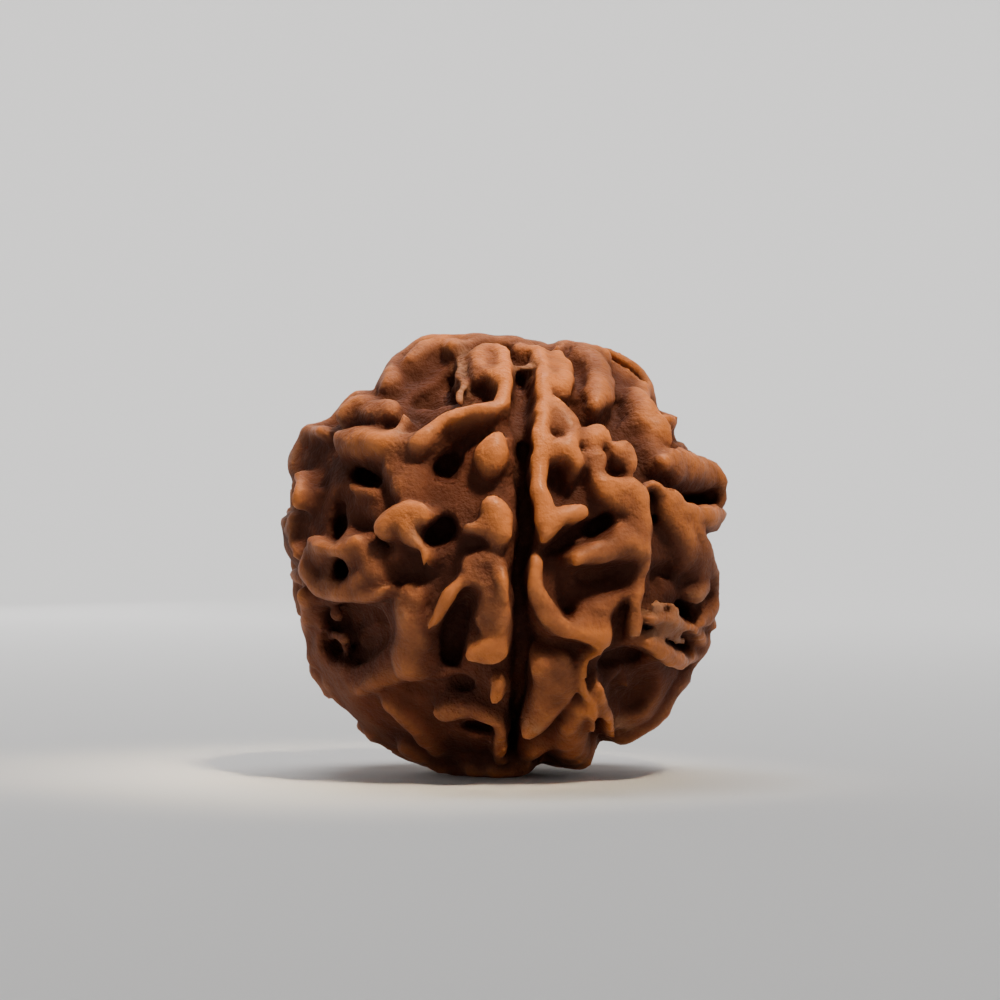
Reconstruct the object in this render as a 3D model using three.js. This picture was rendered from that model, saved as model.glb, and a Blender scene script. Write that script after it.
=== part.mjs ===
// Rudraksha seed: the hard stone of the fruit, grown as one piece.
// Lengths are in millimetres and angles in degrees. The axis of the seed is upright and +Z points up.
// The stone is a ball of low ground. Broad bodies and ridges are raised from its surface by a
// distance formula, and hollows, pits and seams are sunk in it.

import * as THREE from 'three';
import { mergeVertices } from 'three/addons/utils/BufferGeometryUtils.js';

// Driving dimensions
const crestRadius = 15;        // middle of the seed to the tops of the ridges
const groundRadius = 13.3;     // middle to the ground between the ridges
const coreRadius = 10.4;       // nothing is sunk deeper than this
const seatDrop = 14.3;         // the flat seat lies this far below the middle
const pitMouth = 14.2;         // radius at which the dark mouths of the pits are seen
const pitLean = 38;            // a pit opens towards the eye by up to this many degrees
const leanEnd = 84;            // and leans less and less past this angle from the line of sight
const leanFade = 40;
const eyeDistance = 182.7;     // the front was measured by an eye this far from the middle
const limbAngle = 86;          // the outline shapes a belt at this angle from the line of sight
const limbWidth = 16;
const limbFill = 1.1;          // the ground rises by this much towards the outline
const bodyBlend = 0.7;         // fillet where the broad bodies grow into each other
const ridgeBlend = 0.4;        // fillet where ridges grow into each other
const groundBlend = 0.75;      // fillet where ridges grow out of the ground
const pitBlend = 0.35;         // rounding of the mouth of a pit
const moatDepth = 0.15;        // the ground dips by this much along the foot of every ridge
const moatWidth = 0.7;
const bodyFlare = 0.3;         // a body widens this much for each millimetre below its cord
const ridgeFlare = 0.1;        // and a ridge this much
const bowlTaper = 0.25;        // a hidden bowl widens this much for each millimetre above its floor
const pitTaper = 0.05;         // and a hidden pit this much
const pitSlim = 0.8;           // floor of a pit against its mouth
const wobble = 0.12;           // depth of the slow bends put into every wall
const poleGap = 8;             // angle from the axis at which the ridges round a pole begin
const poleReach = 25;          // and where they hand over to the lips of the seams
const collarAngle = 13;        // angle from the axis of the low collar round each pole
const collarHalf = 0.95;       // half width of the collar
const lobeSeed = 20731;        // start of the random draws for the unseen lobes
const leanReach = 0.35;        // a leaning line strays from a straight one by up to this angle, in radians
const meshSplits = 64;         // each face of the starting icosahedron is split into (n + 1) squared
const smoothRounds = 12;       // rounds in which the fine surface is evened out
const smoothIn = 0.6;          // share of the way that a point moves to the middle of its neighbours
const smoothOut = 0.5;         // and back, so that the stone doesn't shrink
const faceLimit = 11900;       // faces that are kept, most of them where the surface bends
const turnLimit = 0.2;         // no kept face turns by more than this cosine allows
const seatSnap = 0.03;         // a point this close above the seat is set down on it

const stoneColour = 0x8f5630;
const stoneRoughness = 0.55;

// Broad bodies on the front, as seen from the front: name, drop below the crest radius and
// the points of the cord as [across, up, half width]
const frontBodies = [
  ['brow body', 0.4, [[-10.2, 7.2, 0.8], [-8.8, 7.2, 1.1], [-7.6, 7.2, 1]]],
  ['left plate', 0.65, [[-6, 7, 0.9], [-6.6, 6, 1.2], [-6.1, 5, 1.4], [-5.9, 4.1, 1.1]]],
  ['lid body', 1.4, [[-9, 3.6, 0.6], [-8, 3.2, 0.9], [-7.6, 2.6, 0.9]]],
  ['disc', 0.35, [[-12.2, 0, 1], [-10.6, 0.7, 0.9], [-9, 0.3, 1.3], [-8, -0.9, 1.5], [-9.6, -1.9, 1],
    [-11.4, -1.9, 0.9], [-12.6, -0.9, 0.8]]],
  ['disc middle', 0.65, [[-11.6, -0.5, 0.8], [-9.6, -0.4, 1]]],
  ['claw root', 1, [[-7.6, 1.2, 0.8], [-6.8, 0.4, 0.8]]],
  ['pillar', 0.35, [[-5.8, -2.6, 1], [-5.9, -3.6, 1.3], [-5.7, -5, 1.4], [-5.7, -6.6, 1.5],
    [-5.9, -7.3, 1.2]]],
  ['pillar foot', 0.9, [[-6.8, -7.6, 0.9], [-8.2, -8.2, 0.7], [-9.6, -8.9, 0.6]]],
  ['arch body', 0.3, [[-1.6, -1.4, 0.8], [-0.8, -2.4, 1], [-0.7, -3.8, 1], [-0.3, -5, 0.9]]],
  ['arch head', 0.5, [[-2.1, -0.6, 0.7], [-0.8, -0.2, 0.8], [0.1, -0.8, 0.7]]],
  ['foot body', 0.15, [[-1.7, -6.5, 0.6], [-0.8, -6.3, 0.85], [0, -6, 0.7]]],
  ['lip body', 0.25, [[-1.4, 13, 0.8], [-1, 12.2, 0.8], [-0.4, 11.4, 0.5]]],
  ['crown body', 0.5, [[-7.3, 11, 0.7], [-6.6, 11.8, 0.9]]],
  ['jaw body', 0.5, [[-13.1, 4.6, 0.6], [-13.5, 3.2, 0.5], [-13.8, 1.6, 0.5]]],
  ['tongue body', 0.35, [[5.7, 12.3, 0.8], [6.3, 11.4, 0.9], [6.4, 10.6, 0.8]]],
  ['shoulder body', 0.35, [[8.6, 10.4, 0.8], [8.9, 9, 1], [9.6, 7.8, 1.1], [9.9, 6.9, 0.8]]],
  ['shield', 0.25, [[6.8, 4.2, 0.85], [7.7, 3.7, 1], [8.6, 2.9, 1], [9, 1.6, 0.8]]],
  ['nose root', 0.35, [[7.6, 1.6, 0.7], [8.6, 0.8, 0.9]]],
  ['sickle body', 0.7, [[5.6, -3.6, 0.7], [6.6, -3.2, 0.95], [7.7, -2.8, 0.85], [8.4, -2.7, 0.6]]],
  ['sickle shelf', 0.5, [[5.2, -4.4, 0.6], [6.4, -4.2, 0.8], [6.8, -5, 0.6]]],
  ['finger shelf', 0.9, [[8.3, -4.6, 0.6], [8.5, -5.4, 0.6]]],
  ['ear body', 0.25, [[11, 5.5, 0.9], [12.2, 5.4, 1], [13.4, 5, 0.9]]],
  ['side body', 0.25, [[10.8, 3.3, 0.8], [11.3, 2, 1.2], [11.8, 0.6, 1.3], [12.6, -0.4, 1.2],
    [13, -1.6, 1], [12.8, -2.6, 0.7]]],
  ['leaf body', 0.3, [[2.6, -7.3, 0.8], [3, -8.3, 0.9], [2.5, -9.6, 0.8], [1.9, -11.2, 0.6]]],
  ['under lobe', 0.1, [[4.9, -10.1, 0.7], [4.5, -11.1, 1.2], [4.3, -12.2, 1.7], [4.4, -13, 1.5],
    [4.5, -14.4, 1.1]]],
  ['under heel', 0.35, [[2.6, -12.4, 0.8], [1.7, -13.3, 0.7], [1.2, -14, 0.5], [0.8, -14.8, 0.5]]],
  ['branch web', 0.2, [[3.6, 9.3, 0.75], [3.9, 8.3, 0.85]]],
  ['hook web', 0.35, [[3.7, 6.7, 0.6], [4.5, 6.3, 0.7]]],
  ['arch knob body', 0.35, [[7.8, 6.4, 0.8]]],
  ['crown skin', 0.1, [[-8, 11.4, 0.7], [-7.2, 12.6, 0.9], [-6, 13.6, 0.9], [-4.6, 14.2, 0.9],
    [-2.8, 14.4, 0.7]]],
  ['temple skin', 0.4, [[-11, 9.2, 0.6], [-10, 10, 0.7], [-8.6, 10.6, 0.7]]],
  ['temple body', 0.7, [[-9.6, 9.2, 0.8], [-8.4, 9.6, 0.8], [-7.2, 9.5, 0.7]]],
  ['claw palm', 0.35, [[-7.2, 1.9, 0.8], [-6.2, 1.8, 0.8], [-5.7, 1, 0.5]]],
  ['crown web', 0.25, [[7, 13.2, 0.5], [8.4, 12.3, 0.6], [9.5, 11, 0.5]]],
  ['bow web', 0.5, [[6.1, -8.9, 0.4], [6.3, -9.8, 0.5], [6.6, -11.2, 0.5]]],
  ['lip web', 0.15, [[3.2, 12.9, 0.6], [3.2, 11, 0.6]]],
];

// Broad hollows, sunk before the ridges are raised: name, radius of the floor, how much the
// hollow widens for each millimetre above its floor, and the points
const frontBowls = [
  ['crown bowl', 11.9, 0.3, [[-5.6, 10.7, 0.6], [-4.7, 11.2, 0.9], [-3.8, 11.8, 0.9],
    [-3.4, 12.4, 0.5]]],
  ['lip bowl', 13, 0.3, [[-1.3, 11.2, 0.4], [-1.2, 10.7, 0.4]]],
  ['cave', 11.3, 0.1, [[-12.4, -4.4, 0.8], [-10.4, -4.2, 1], [-8.4, -4.1, 0.9], [-8, -5, 0.8],
    [-9.2, -6, 1], [-10.3, -6.8, 0.9], [-12, -6.3, 1]]],
  ['dark band', 12.4, 0.2, [[-6, -8.9, 0.5], [-4.2, -8.9, 0.6], [-2.3, -8.6, 0.6]]],
  ['bowl', 12.3, 0.15, [[7.6, -7.6, 1], [9.1, -7.8, 1.3], [9.9, -9, 1.3], [9, -10, 1.2],
    [7.9, -9.6, 1], [8.5, -8.8, 1.2]]],
  ['bowl roof', 11.2, 0.1, [[7.2, -6.9, 0.6], [8.5, -6.8, 0.6], [9.6, -6.9, 0.6]]],
  ['nose shade', 12.3, 0.8, [[5.2, -1.4, 0.4], [6.2, -1.3, 0.4], [7.4, -1.1, 0.3]]],
  ['jaw slope', 12.2, 0.6, [[-11.3, 2.2, 0.7], [-11, 3.2, 0.5]]],
  ['nostril slope', 11.8, 0.25, [[-1.6, 8.1, 0.4], [-2.4, 7.4, 0.55], [-3.2, 6.6, 0.7],
    [-3.5, 5.9, 0.8]]],
  ['arch slope', 11.8, 0.1, [[-2.3, -2.9, 0.35], [-2.8, -4, 0.5], [-3, -5, 0.6]]],
  ['tongue shade', 12.6, 0.2, [[4.7, 10.4, 0.35], [5, 9.6, 0.4], [5.8, 8.9, 0.3], [6.8, 8.9, 0.3]]],
  ['shoulder shade', 12.7, 0.2, [[7.9, 10.6, 0.25], [8, 9.7, 0.35], [7.6, 8.9, 0.4],
    [7.5, 8.3, 0.3]]],
  ['sickle shade', 12.3, 0.15, [[1.9, -5.2, 0.4], [3, -5.9, 0.35], [4.3, -6.2, 0.25]]],
  ['claw shade', 12.7, 0.2, [[-9.4, 2, 0.4], [-8.3, 1.5, 0.35], [-7.4, 0.9, 0.3]]],
  ['hook bowl', 12.6, 0.15, [[3.7, 5.4, 0.4], [4, 4.4, 0.6]]],
  ['cave middle', 11.3, 0.1, [[-12, -5.2, 1], [-10, -5.1, 1]]],
  ['sickle inside', 12.7, 0.3, [[3.9, -0.4, 0.4], [3.9, -1.8, 0.5], [4.4, -2.8, 0.35]]],
  ['side dark', 12.4, 0.4, [[10.4, -2, 0.3], [10.5, -1.2, 0.4], [11.4, -1.1, 0.3]]],
  ['crown bowl low', 12.4, 0.3, [[-4.2, 10.7, 0.5], [-2.7, 10.7, 0.4]]],
];

// Ridges: name, drop below the crest radius and the points of the cord
const frontRidges = [
  ['right lip', 0, [[2.5, 13.6, 0.6], [2.8, 12, 0.65], [2.8, 10.5, 0.6], [2.6, 9, 0.55],
    [2.6, 7, 0.55], [2.4, 6, 0.6], [2.6, 4, 0.6], [2.75, 3, 0.65], [3, 2.1, 0.75], [3, 1.2, 0.6]]],
  ['lip lobe', 0.1, [[3.5, 13, 0.75], [3.9, 12, 1], [3.8, 10.9, 0.85]]],
  ['upper branch', 0.2, [[3.2, 10.2, 0.4], [4.1, 9.7, 0.45], [4.7, 9, 0.45], [4.9, 8.1, 0.4],
    [4.6, 7.5, 0.3]]],
  ['hooked branch', 0.2, [[2.9, 7.1, 0.45], [3.8, 7.1, 0.5], [4.7, 6.8, 0.5], [5.1, 6.2, 0.4],
    [5, 5.7, 0.35]]],
  ['lower spur', 0.1, [[3, 2.3, 0.65], [4, 2.65, 0.6], [5, 2.9, 0.6], [5.4, 3, 0.55]]],
  ['tongue', 0.15, [[5, 13.1, 0.6], [6, 12.4, 0.8], [6.5, 11.4, 0.95], [6.4, 10.5, 0.95],
    [6.3, 9.9, 0.75]]],
  ['twin knob', 0.05, [[5.9, 7.8, 0.85], [6.3, 7.9, 0.95]]],
  ['round knob', 0.1, [[6.2, 6.4, 0.75], [6.3, 5.7, 0.55], [6.6, 5, 0.5]]],
  ['knob arch', 0.2, [[7.5, 7.1, 0.4], [8.2, 7.1, 0.5], [8.6, 6.5, 0.4], [8.6, 5.6, 0.35]]],
  ['long shoulder', -0.05, [[5.2, 13.4, 0.55], [6.5, 13, 0.6], [7.6, 12.5, 0.7], [8.6, 11.8, 0.8],
    [9.3, 10.9, 0.8], [9.5, 9.8, 0.85], [9.8, 8.9, 0.85], [10.5, 8.1, 0.7], [11, 7.7, 0.5]]],
  ['crown rim', 0, [[3.8, 14, 0.3], [5, 14, 0.3], [6.3, 13.8, 0.3], [7.4, 13.3, 0.35],
    [8.6, 12.6, 0.4], [9.5, 11.8, 0.4], [10, 10.9, 0.4]]],
  ['crown knob', 0.45, [[0.7, 14.2, 0.65], [1.4, 13.5, 0.6]]],
  ['shield rim', 0.05, [[7, 4.9, 0.5], [8, 4.8, 0.6], [8.9, 4.3, 0.7], [9.4, 3.4, 0.65],
    [9.6, 2.4, 0.6], [9.7, 1.4, 0.55], [9.6, 0.4, 0.6]]],
  ['nose', 0.05, [[5, -0.2, 0.6], [6, 0.1, 0.75], [7, 0.4, 0.85], [8.2, 0.6, 0.95],
    [9.1, 0.3, 0.75]]],
  ['cheek', 0.2, [[9.4, -0.6, 0.55], [9.3, -1.6, 0.5], [9.1, -2.5, 0.45]]],
  ['sickle', 0, [[2.45, 0, 0.5], [2.25, -1, 0.55], [2.3, -2, 0.55], [2.6, -3, 0.6], [3.2, -4, 0.6],
    [4.1, -4.7, 0.6], [5, -5.1, 0.6], [6, -5.3, 0.65], [6.9, -5.4, 0.65]]],
  ['small finger', 0.2, [[8.9, -3.2, 0.45], [8.9, -4.1, 0.5], [8.8, -5, 0.4]]],
  ['leaf lobe', 0.3, [[2.8, -6.9, 0.8], [3.8, -7.1, 0.9], [4.1, -8.2, 1], [3.4, -9.5, 0.9],
    [2.5, -10.7, 0.75], [1.8, -11.6, 0.5]]],
  ['bow', 0, [[6.6, -6.3, 0.35], [5.8, -7, 0.3], [5.5, -7.9, 0.3], [5.5, -8.8, 0.3], [5.9, -9.7, 0.3],
    [6.2, -10.6, 0.3], [6.2, -11.8, 0.3]]],
  ['string', 0.2, [[6.4, -8.8, 0.3], [6.8, -9.8, 0.4], [7, -10.6, 0.45], [7.2, -11.4, 0.45],
    [7.3, -12.3, 0.4]]],
  ['bowl rim', 0, [[7.5, -12.6, 0.4], [8.4, -12.6, 0.4], [9.4, -12.1, 0.4], [10.3, -11.3, 0.4],
    [10.9, -10.5, 0.45]]],
  ['lower ear', 0, [[12.3, -7.8, 0.5], [12.2, -8.5, 0.6], [11.6, -9.4, 0.55], [10.9, -10.4, 0.45]]],
  ['side bump', -0.1, [[10.9, 9, 0.5], [11.3, 8.8, 0.5]]],
  ['upper ear', -0.15, [[10.7, 6.3, 0.6], [11.8, 6.5, 0.7], [12.9, 6.1, 0.7], [13.8, 5.4, 0.7],
    [14.3, 4.7, 0.6]]],
  ['ear finger', 0, [[12.6, 2.8, 0.6], [13.5, 2.5, 0.8], [14, 2.4, 0.75]]],
  ['side wall', 0, [[9.9, 4.7, 0.35], [10.7, 4.2, 0.5], [11.5, 3.7, 0.65], [12.2, 3, 0.7],
    [12.8, 2, 0.7], [13.2, 1.1, 0.7], [13.7, 0.2, 0.7], [13.9, -0.8, 0.7], [14.1, -1.8, 0.7],
    [14, -2.8, 0.7], [13.6, -3.8, 0.7], [13.1, -4.3, 0.6]]],
  ['side loop', 0.05, [[9.8, -4.1, 0.4], [11, -4.2, 0.5], [12.2, -4.6, 0.5], [13.1, -5.1, 0.55],
    [13.5, -5.8, 0.55], [13.2, -6.5, 0.55], [12.4, -6.9, 0.55], [11.5, -6.7, 0.6],
    [10.5, -6.2, 0.6], [9.7, -5.6, 0.5]]],
  ['left crown', 0, [[-7.6, 11.4, 0.7], [-7, 12.1, 1.05], [-6, 12.9, 1.2], [-4.9, 13.5, 1.2],
    [-3.8, 13.7, 1], [-3, 13.6, 0.7]]],
  ['crown tag', 0.2, [[-2.1, 13.9, 0.4], [-1.4, 14.2, 0.35]]],
  ['left lip', 0, [[-1, 13.7, 0.6], [-0.3, 13.7, 0.6], [0.15, 13.1, 0.6], [0.3, 12.2, 0.6],
    [0.3, 11.2, 0.55], [0.2, 10.4, 0.55], [-0.2, 9.8, 0.55], [-1.2, 9.6, 0.6], [-2.2, 9.5, 0.6],
    [-3.2, 9.2, 0.6], [-4.1, 8.7, 0.65], [-4.8, 8.1, 0.65], [-5.4, 7.4, 0.6]]],
  ['brow fibre', 0.4, [[-6.3, 9.2, 0.4], [-6.6, 8.7, 0.35], [-6.9, 8.2, 0.3]]],
  ['brow', 0, [[-10.5, 7.9, 0.6], [-9.6, 7.7, 0.9], [-8.4, 7.6, 1], [-7.4, 7.5, 0.8]]],
  ['temple knob', 0, [[-10.3, 9.2, 0.5], [-9.5, 9.8, 1], [-9, 10, 0.9]]],
  ['pear knob', 0, [[-0.1, 7.7, 0.55], [-0.4, 7, 1], [-0.6, 6.3, 1.25]]],
  ['beak knob', 0, [[-0.4, 3, 0.85], [-0.15, 2.2, 1], [-0.05, 1.5, 0.85]]],
  ['beak', 0.25, [[-0.9, 2, 0.7], [-1.7, 1.9, 0.4], [-2.6, 1.85, 0.25]]],
  ['claw body', 0.1, [[-7.5, 1.8, 0.7], [-6.8, 2.5, 0.8], [-5.9, 3.1, 0.65], [-5.3, 3.1, 0.4]]],
  ['claw thumb', 0.1, [[-6.3, 1.9, 0.35], [-5.6, 2.4, 0.35], [-4.9, 2.6, 0.3]]],
  ['claw finger', 0.1, [[-6.2, 1.5, 0.4], [-5.5, 1.1, 0.4], [-5.1, 0.6, 0.4], [-4.9, 0, 0.35],
    [-5, -0.6, 0.35]]],
  ['disc rim', 0.2, [[-13, -0.6, 0.4], [-12.3, -1.9, 0.45], [-11, -2.6, 0.45], [-9.5, -2.8, 0.45],
    [-8.2, -2.6, 0.4], [-7.5, -2.2, 0.3]]],
  ['disc brow', 0.25, [[-12.5, 0.9, 0.4], [-11.4, 0.6, 0.3], [-10.2, 0.6, 0.3], [-9.4, 1, 0.4]]],
  ['arch', 0.05, [[-4.8, -4.6, 0.35], [-4.3, -4, 0.4], [-3.8, -3.1, 0.4], [-3.3, -2.2, 0.4],
    [-2.7, -1.6, 0.4]]],
  ['arch leg', 0, [[0, -1.4, 0.5], [0.35, -2.2, 0.55], [0.45, -3.1, 0.55], [0.3, -4.1, 0.55],
    [0.1, -5, 0.55]]],
  ['arch foot', 0.05, [[-2.2, -6.5, 0.4], [-1.3, -6.1, 0.5], [-0.3, -5.6, 0.5]]],
  ['peg', 0.2, [[-0.15, -8.4, 0.65], [-0.2, -9.2, 0.6]]],
  ['apron', 0.65, [[-3.8, -10.2, 0.8], [-2.5, -10, 0.8], [-1.2, -10.3, 0.7], [-0.2, -10.9, 0.6],
    [0, -12, 0.5], [0.1, -13.4, 0.5]]],
  ['shin', 0.75, [[-7.2, -9.6, 0.8], [-5.8, -10.6, 1], [-4.6, -11.8, 1], [-3.8, -13, 0.8]]],
  ['heel', 0.7, [[-10.6, -9.2, 0.8], [-9.2, -10.2, 1], [-8, -11.5, 0.9], [-6.8, -12.8, 0.7]]],
  ['jaw knob', 0, [[-12.4, 8, 0.5], [-11.6, 8.1, 0.5]]],
  ['jaw', 0, [[-12.9, 5.1, 0.75], [-13.1, 4.3, 0.5], [-13.4, 3.5, 0.4]]],
  ['jaw rim', 0.2, [[-13.6, 2.4, 0.5], [-13.7, 1.2, 0.5], [-13.5, 0, 0.45]]],
  ['left wall', 0.45, [[-13.1, -2.6, 0.5], [-13.2, -4, 0.5], [-13.1, -5.4, 0.5], [-12.5, -7, 0.5]]],
];

// Thin fibres that cross a hollow without any wall below them. Same columns as the ridges
const frontFibres = [
  ['seam bridge', 0.8, [[0.3, 12.5, 0.35], [1.9, 12.4, 0.35]]],
  ['crown fibre', 0.7, [[-2.4, 13.6, 0.35], [-2.9, 12.8, 0.4], [-2.6, 11.6, 0.4],
    [-2.8, 10.1, 0.35]]],
  ['bowl fibre', 1, [[7.5, -11, 0.35], [8.5, -11.05, 0.35], [9.5, -10.9, 0.35]]],
  ['cave post', 2, [[-10.2, -5.3, 0.4], [-10.2, -7.6, 0.5]]],
  ['cave bar', 1.9, [[-13, -5.4, 0.4], [-11.5, -5.3, 0.4], [-10.2, -5.4, 0.4]]],
  ['cave lump', 1.8, [[-10.9, -3.8, 0.6]]],
  ['loop fibre', 0.5, [[10.2, -5, 0.3], [11.2, -5.3, 0.32], [12, -5.7, 0.3]]],
  ['jaw fibre', 1, [[-11.8, 4.4, 0.3], [-12.5, 3.7, 0.35], [-13.2, 3, 0.35]]],
  ['lower lid', 1, [[-10, 4.6, 0.35], [-9.2, 4.3, 0.4], [-8.3, 4.2, 0.4]]],
];

// Pits and grooves: name, radius of the floor, widening for each millimetre and the points
const frontPits = [
  ['seam', 11, 0.05, [[1.4, 12.7, 0.3], [1.35, 11, 0.5], [1.15, 9, 0.6], [1.45, 7, 0.5],
    [1.25, 5, 0.35], [1.55, 3, 0.5], [1.55, 1, 0.5], [1.05, -1, 0.35], [1.25, -3, 0.35],
    [1.4, -5, 0.6], [1.2, -7, 0.5], [1.15, -9, 0.45], [0.95, -11, 0.25], [0.9, -12, 0.2],
    [0.75, -13.5, 0.2]]],
  ['right seam', 13.6, 0.05, [[4.6, 13.7, 0.15], [6, 13.6, 0.15], [7.5, 13.1, 0.15]]],
  ['side seam', 13.5, 0.05, [[9.9, 5.2, 0.15], [10, 2.5, 0.15], [10.1, 0.4, 0.15], [10, -1.8, 0.15],
    [9.7, -3, 0.15]]],
  ['left eye', 11, 0.05, [[-9.9, 5.8, 0.4], [-9.1, 5.4, 0.5], [-8.3, 4.9, 0.4]]],
  ['nostril', 10.8, 0.1, [[-3.7, 5.7, 0.75], [-3.3, 6.2, 0.6]]],
  ['claw pit', 10.8, 0.05, [[-4.4, 1.4, 0.7], [-3.8, 1.7, 0.95]]],
  ['arch pit', 10.8, 0.05, [[-2.6, -3.5, 0.45], [-2.9, -4.4, 0.7], [-3.2, -5.4, 0.85],
    [-3.3, -6.5, 0.85]]],
  ['disc pit', 11, 0.1, [[-10.8, -0.8, 0.8]]],
  ['apron pit', 11.6, 0.15, [[-2.5, -8.3, 0.8]]],
  ['toe pit', 11.6, 0.15, [[-2, -11.8, 0.5], [-1.2, -11.8, 0.7]]],
  ['jaw pit', 11, 0.1, [[-11.1, 2, 0.85]]],
  ['shield shade', 12.3, 0.1, [[2.9, 0.4, 0.2], [3.8, 0.7, 0.35], [4.8, 1.2, 0.4], [5.6, 1.7, 0.4]]],
  ['sickle hole', 12.6, 0.05, [[4.4, -3.65, 0.25]]],
  ['side pit', 12, 0.05, [[10.3, 2.5, 0.25]]],
  ['side hole', 11.8, 0.1, [[12.1, -3.5, 0.45], [12.8, -3.9, 0.35]]],
  ['ear slot', 11.2, 0.05, [[11.9, 3.9, 0.25], [13, 3.9, 0.35], [14, 3.9, 0.35]]],
  ['loop slot', 12, 0.05, [[10.3, -4.7, 0.2], [11.4, -5.3, 0.3], [12.2, -5.8, 0.3],
    [12.6, -6.1, 0.2]]],
  ['bowl pocket', 12, 0.1, [[8.2, -11.5, 0.35]]],
  ['string crack', 12.2, 0.05, [[6.4, -10.6, 0.15], [6.55, -11.6, 0.15]]],
  ['finger gap', 13.3, 0.15, [[7.9, -3.5, 0.2], [7.8, -4.3, 0.2], [7.8, -5.1, 0.15]]],
  ['shield pit', 11.3, 0.1, [[5.7, 1.7, 0.4], [6.5, 2.1, 0.45], [6.9, 2.3, 0.35]]],
];

// Outline of the front as the eye sees it, as [across, up], clockwise from the top
const frontOutline = [
  [0, 14.4], [0.7, 14.6], [1.8, 14.0], [3.4, 13.9], [4, 14.35], [5.9, 14.1], [7.1, 13.8], [8.2, 12.9],
  [9.3, 12.1], [10.1, 10.8], [10.3, 9.6], [11.7, 9.3], [11.7, 8.5], [11.1, 7.9], [12.3, 7.2],
  [13.9, 6.1], [14.9, 5.1], [15.1, 3.8], [14.9, 2.4], [14.4, 1.6], [13.7, 1.45], [14, 0.4],
  [14.5, -0.9], [14.7, -2.6], [14.3, -3.9], [14.2, -4.8], [13.6, -5.0], [13.75, -5.8], [13.5, -6.5],
  [12.6, -7.4], [12.6, -8.5], [11.8, -9.5], [11, -10.5], [10.4, -11.3], [9.1, -12.1], [8, -12.6],
  [7.3, -12.2], [6.35, -11.8], [6.2, -12.8], [5.85, -13.8], [5.2, -14.1], [4.2, -14], [3.2, -13.6],
  [2.5, -13.4], [1.8, -14.3], [0.7, -14.7], [-1, -14.7], [-4, -14.3], [-8, -12.7], [-11, -10.2],
  [-13.2, -7], [-13.2, -5.5], [-13.6, -3.6], [-13.5, -2.2], [-14, -0.9], [-14.9, 0.6], [-15.1, 1.8],
  [-14.5, 3], [-14.4, 5], [-13.8, 7], [-12.9, 8.6], [-11.4, 9.2], [-10.6, 10.3], [-9.6, 10.9],
  [-8.4, 10.9], [-7.8, 12], [-7, 13.2], [-5.3, 14.2], [-4, 14.6], [-2.5, 14.5], [-1, 14.6],
];

// The lobes out of sight lie between these seams, as angles round the axis from the front
const hiddenSeams = [46, 80, 114, 148, 182, 216, 250, 284, 318];
const frontLobes = [-24, -6, 24];
const frontReach = 84;

// A repeatable row of random draws between 0 and 1
let drawState = lobeSeed;
function draw(low, high) {
  drawState = (drawState * 16807) % 2147483647;
  return low + (high - low) * (drawState / 2147483647);
}

function fromAngles(around, upward, radius) {
  const place = new THREE.Vector3();
  const fromPole = THREE.MathUtils.degToRad(90 - upward);
  place.setFromSphericalCoords(radius, fromPole, THREE.MathUtils.degToRad(around));
  return new THREE.Vector3(place.x, -place.z, place.y);
}

// The place on a ball that the eye sees at [across, up], or the rim of the ball where it looks past it
function fromFront(across, up, radius) {
  const lengthSquared = across * across + up * up + eyeDistance * eyeDistance;
  const nearest = eyeDistance * eyeDistance / lengthSquared;
  const miss = eyeDistance * eyeDistance - nearest * eyeDistance * eyeDistance;
  const inside = Math.max(0, radius * radius - miss);
  const step = nearest - Math.sqrt(inside / lengthSquared);
  return new THREE.Vector3(across * step, eyeDistance * (step - 1), up * step).setLength(radius);
}

// The way a pit opens: straight out, leaning towards the eye by no more than pitLean
function leaned(place) {
  const out = place.clone().normalize();
  const sight = new THREE.Vector3(0, -eyeDistance, 0).sub(place).normalize();
  const turn = out.angleTo(sight);
  const beyond = THREE.MathUtils.radToDeg(turn) - leanEnd;
  const most = THREE.MathUtils.degToRad(pitLean) * (1 - THREE.MathUtils.smoothstep(beyond, 0, leanFade));
  const lean = Math.min(turn, most);
  if (lean < 0.01) return out;
  return out.multiplyScalar(Math.sin(turn - lean)).addScaledVector(sight, Math.sin(lean)).normalize();
}

// Two more points in every stretch of a path, on a smooth curve through all of them
function eased(path) {
  if (path.length < 3) return path;
  const points = path.map((row) => new THREE.Vector3(...row));
  const curve = new THREE.CatmullRomCurve3(points, false, 'catmullrom', 0.5);
  return curve.getPoints(3 * (path.length - 1)).map((point) => point.toArray());
}

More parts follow.
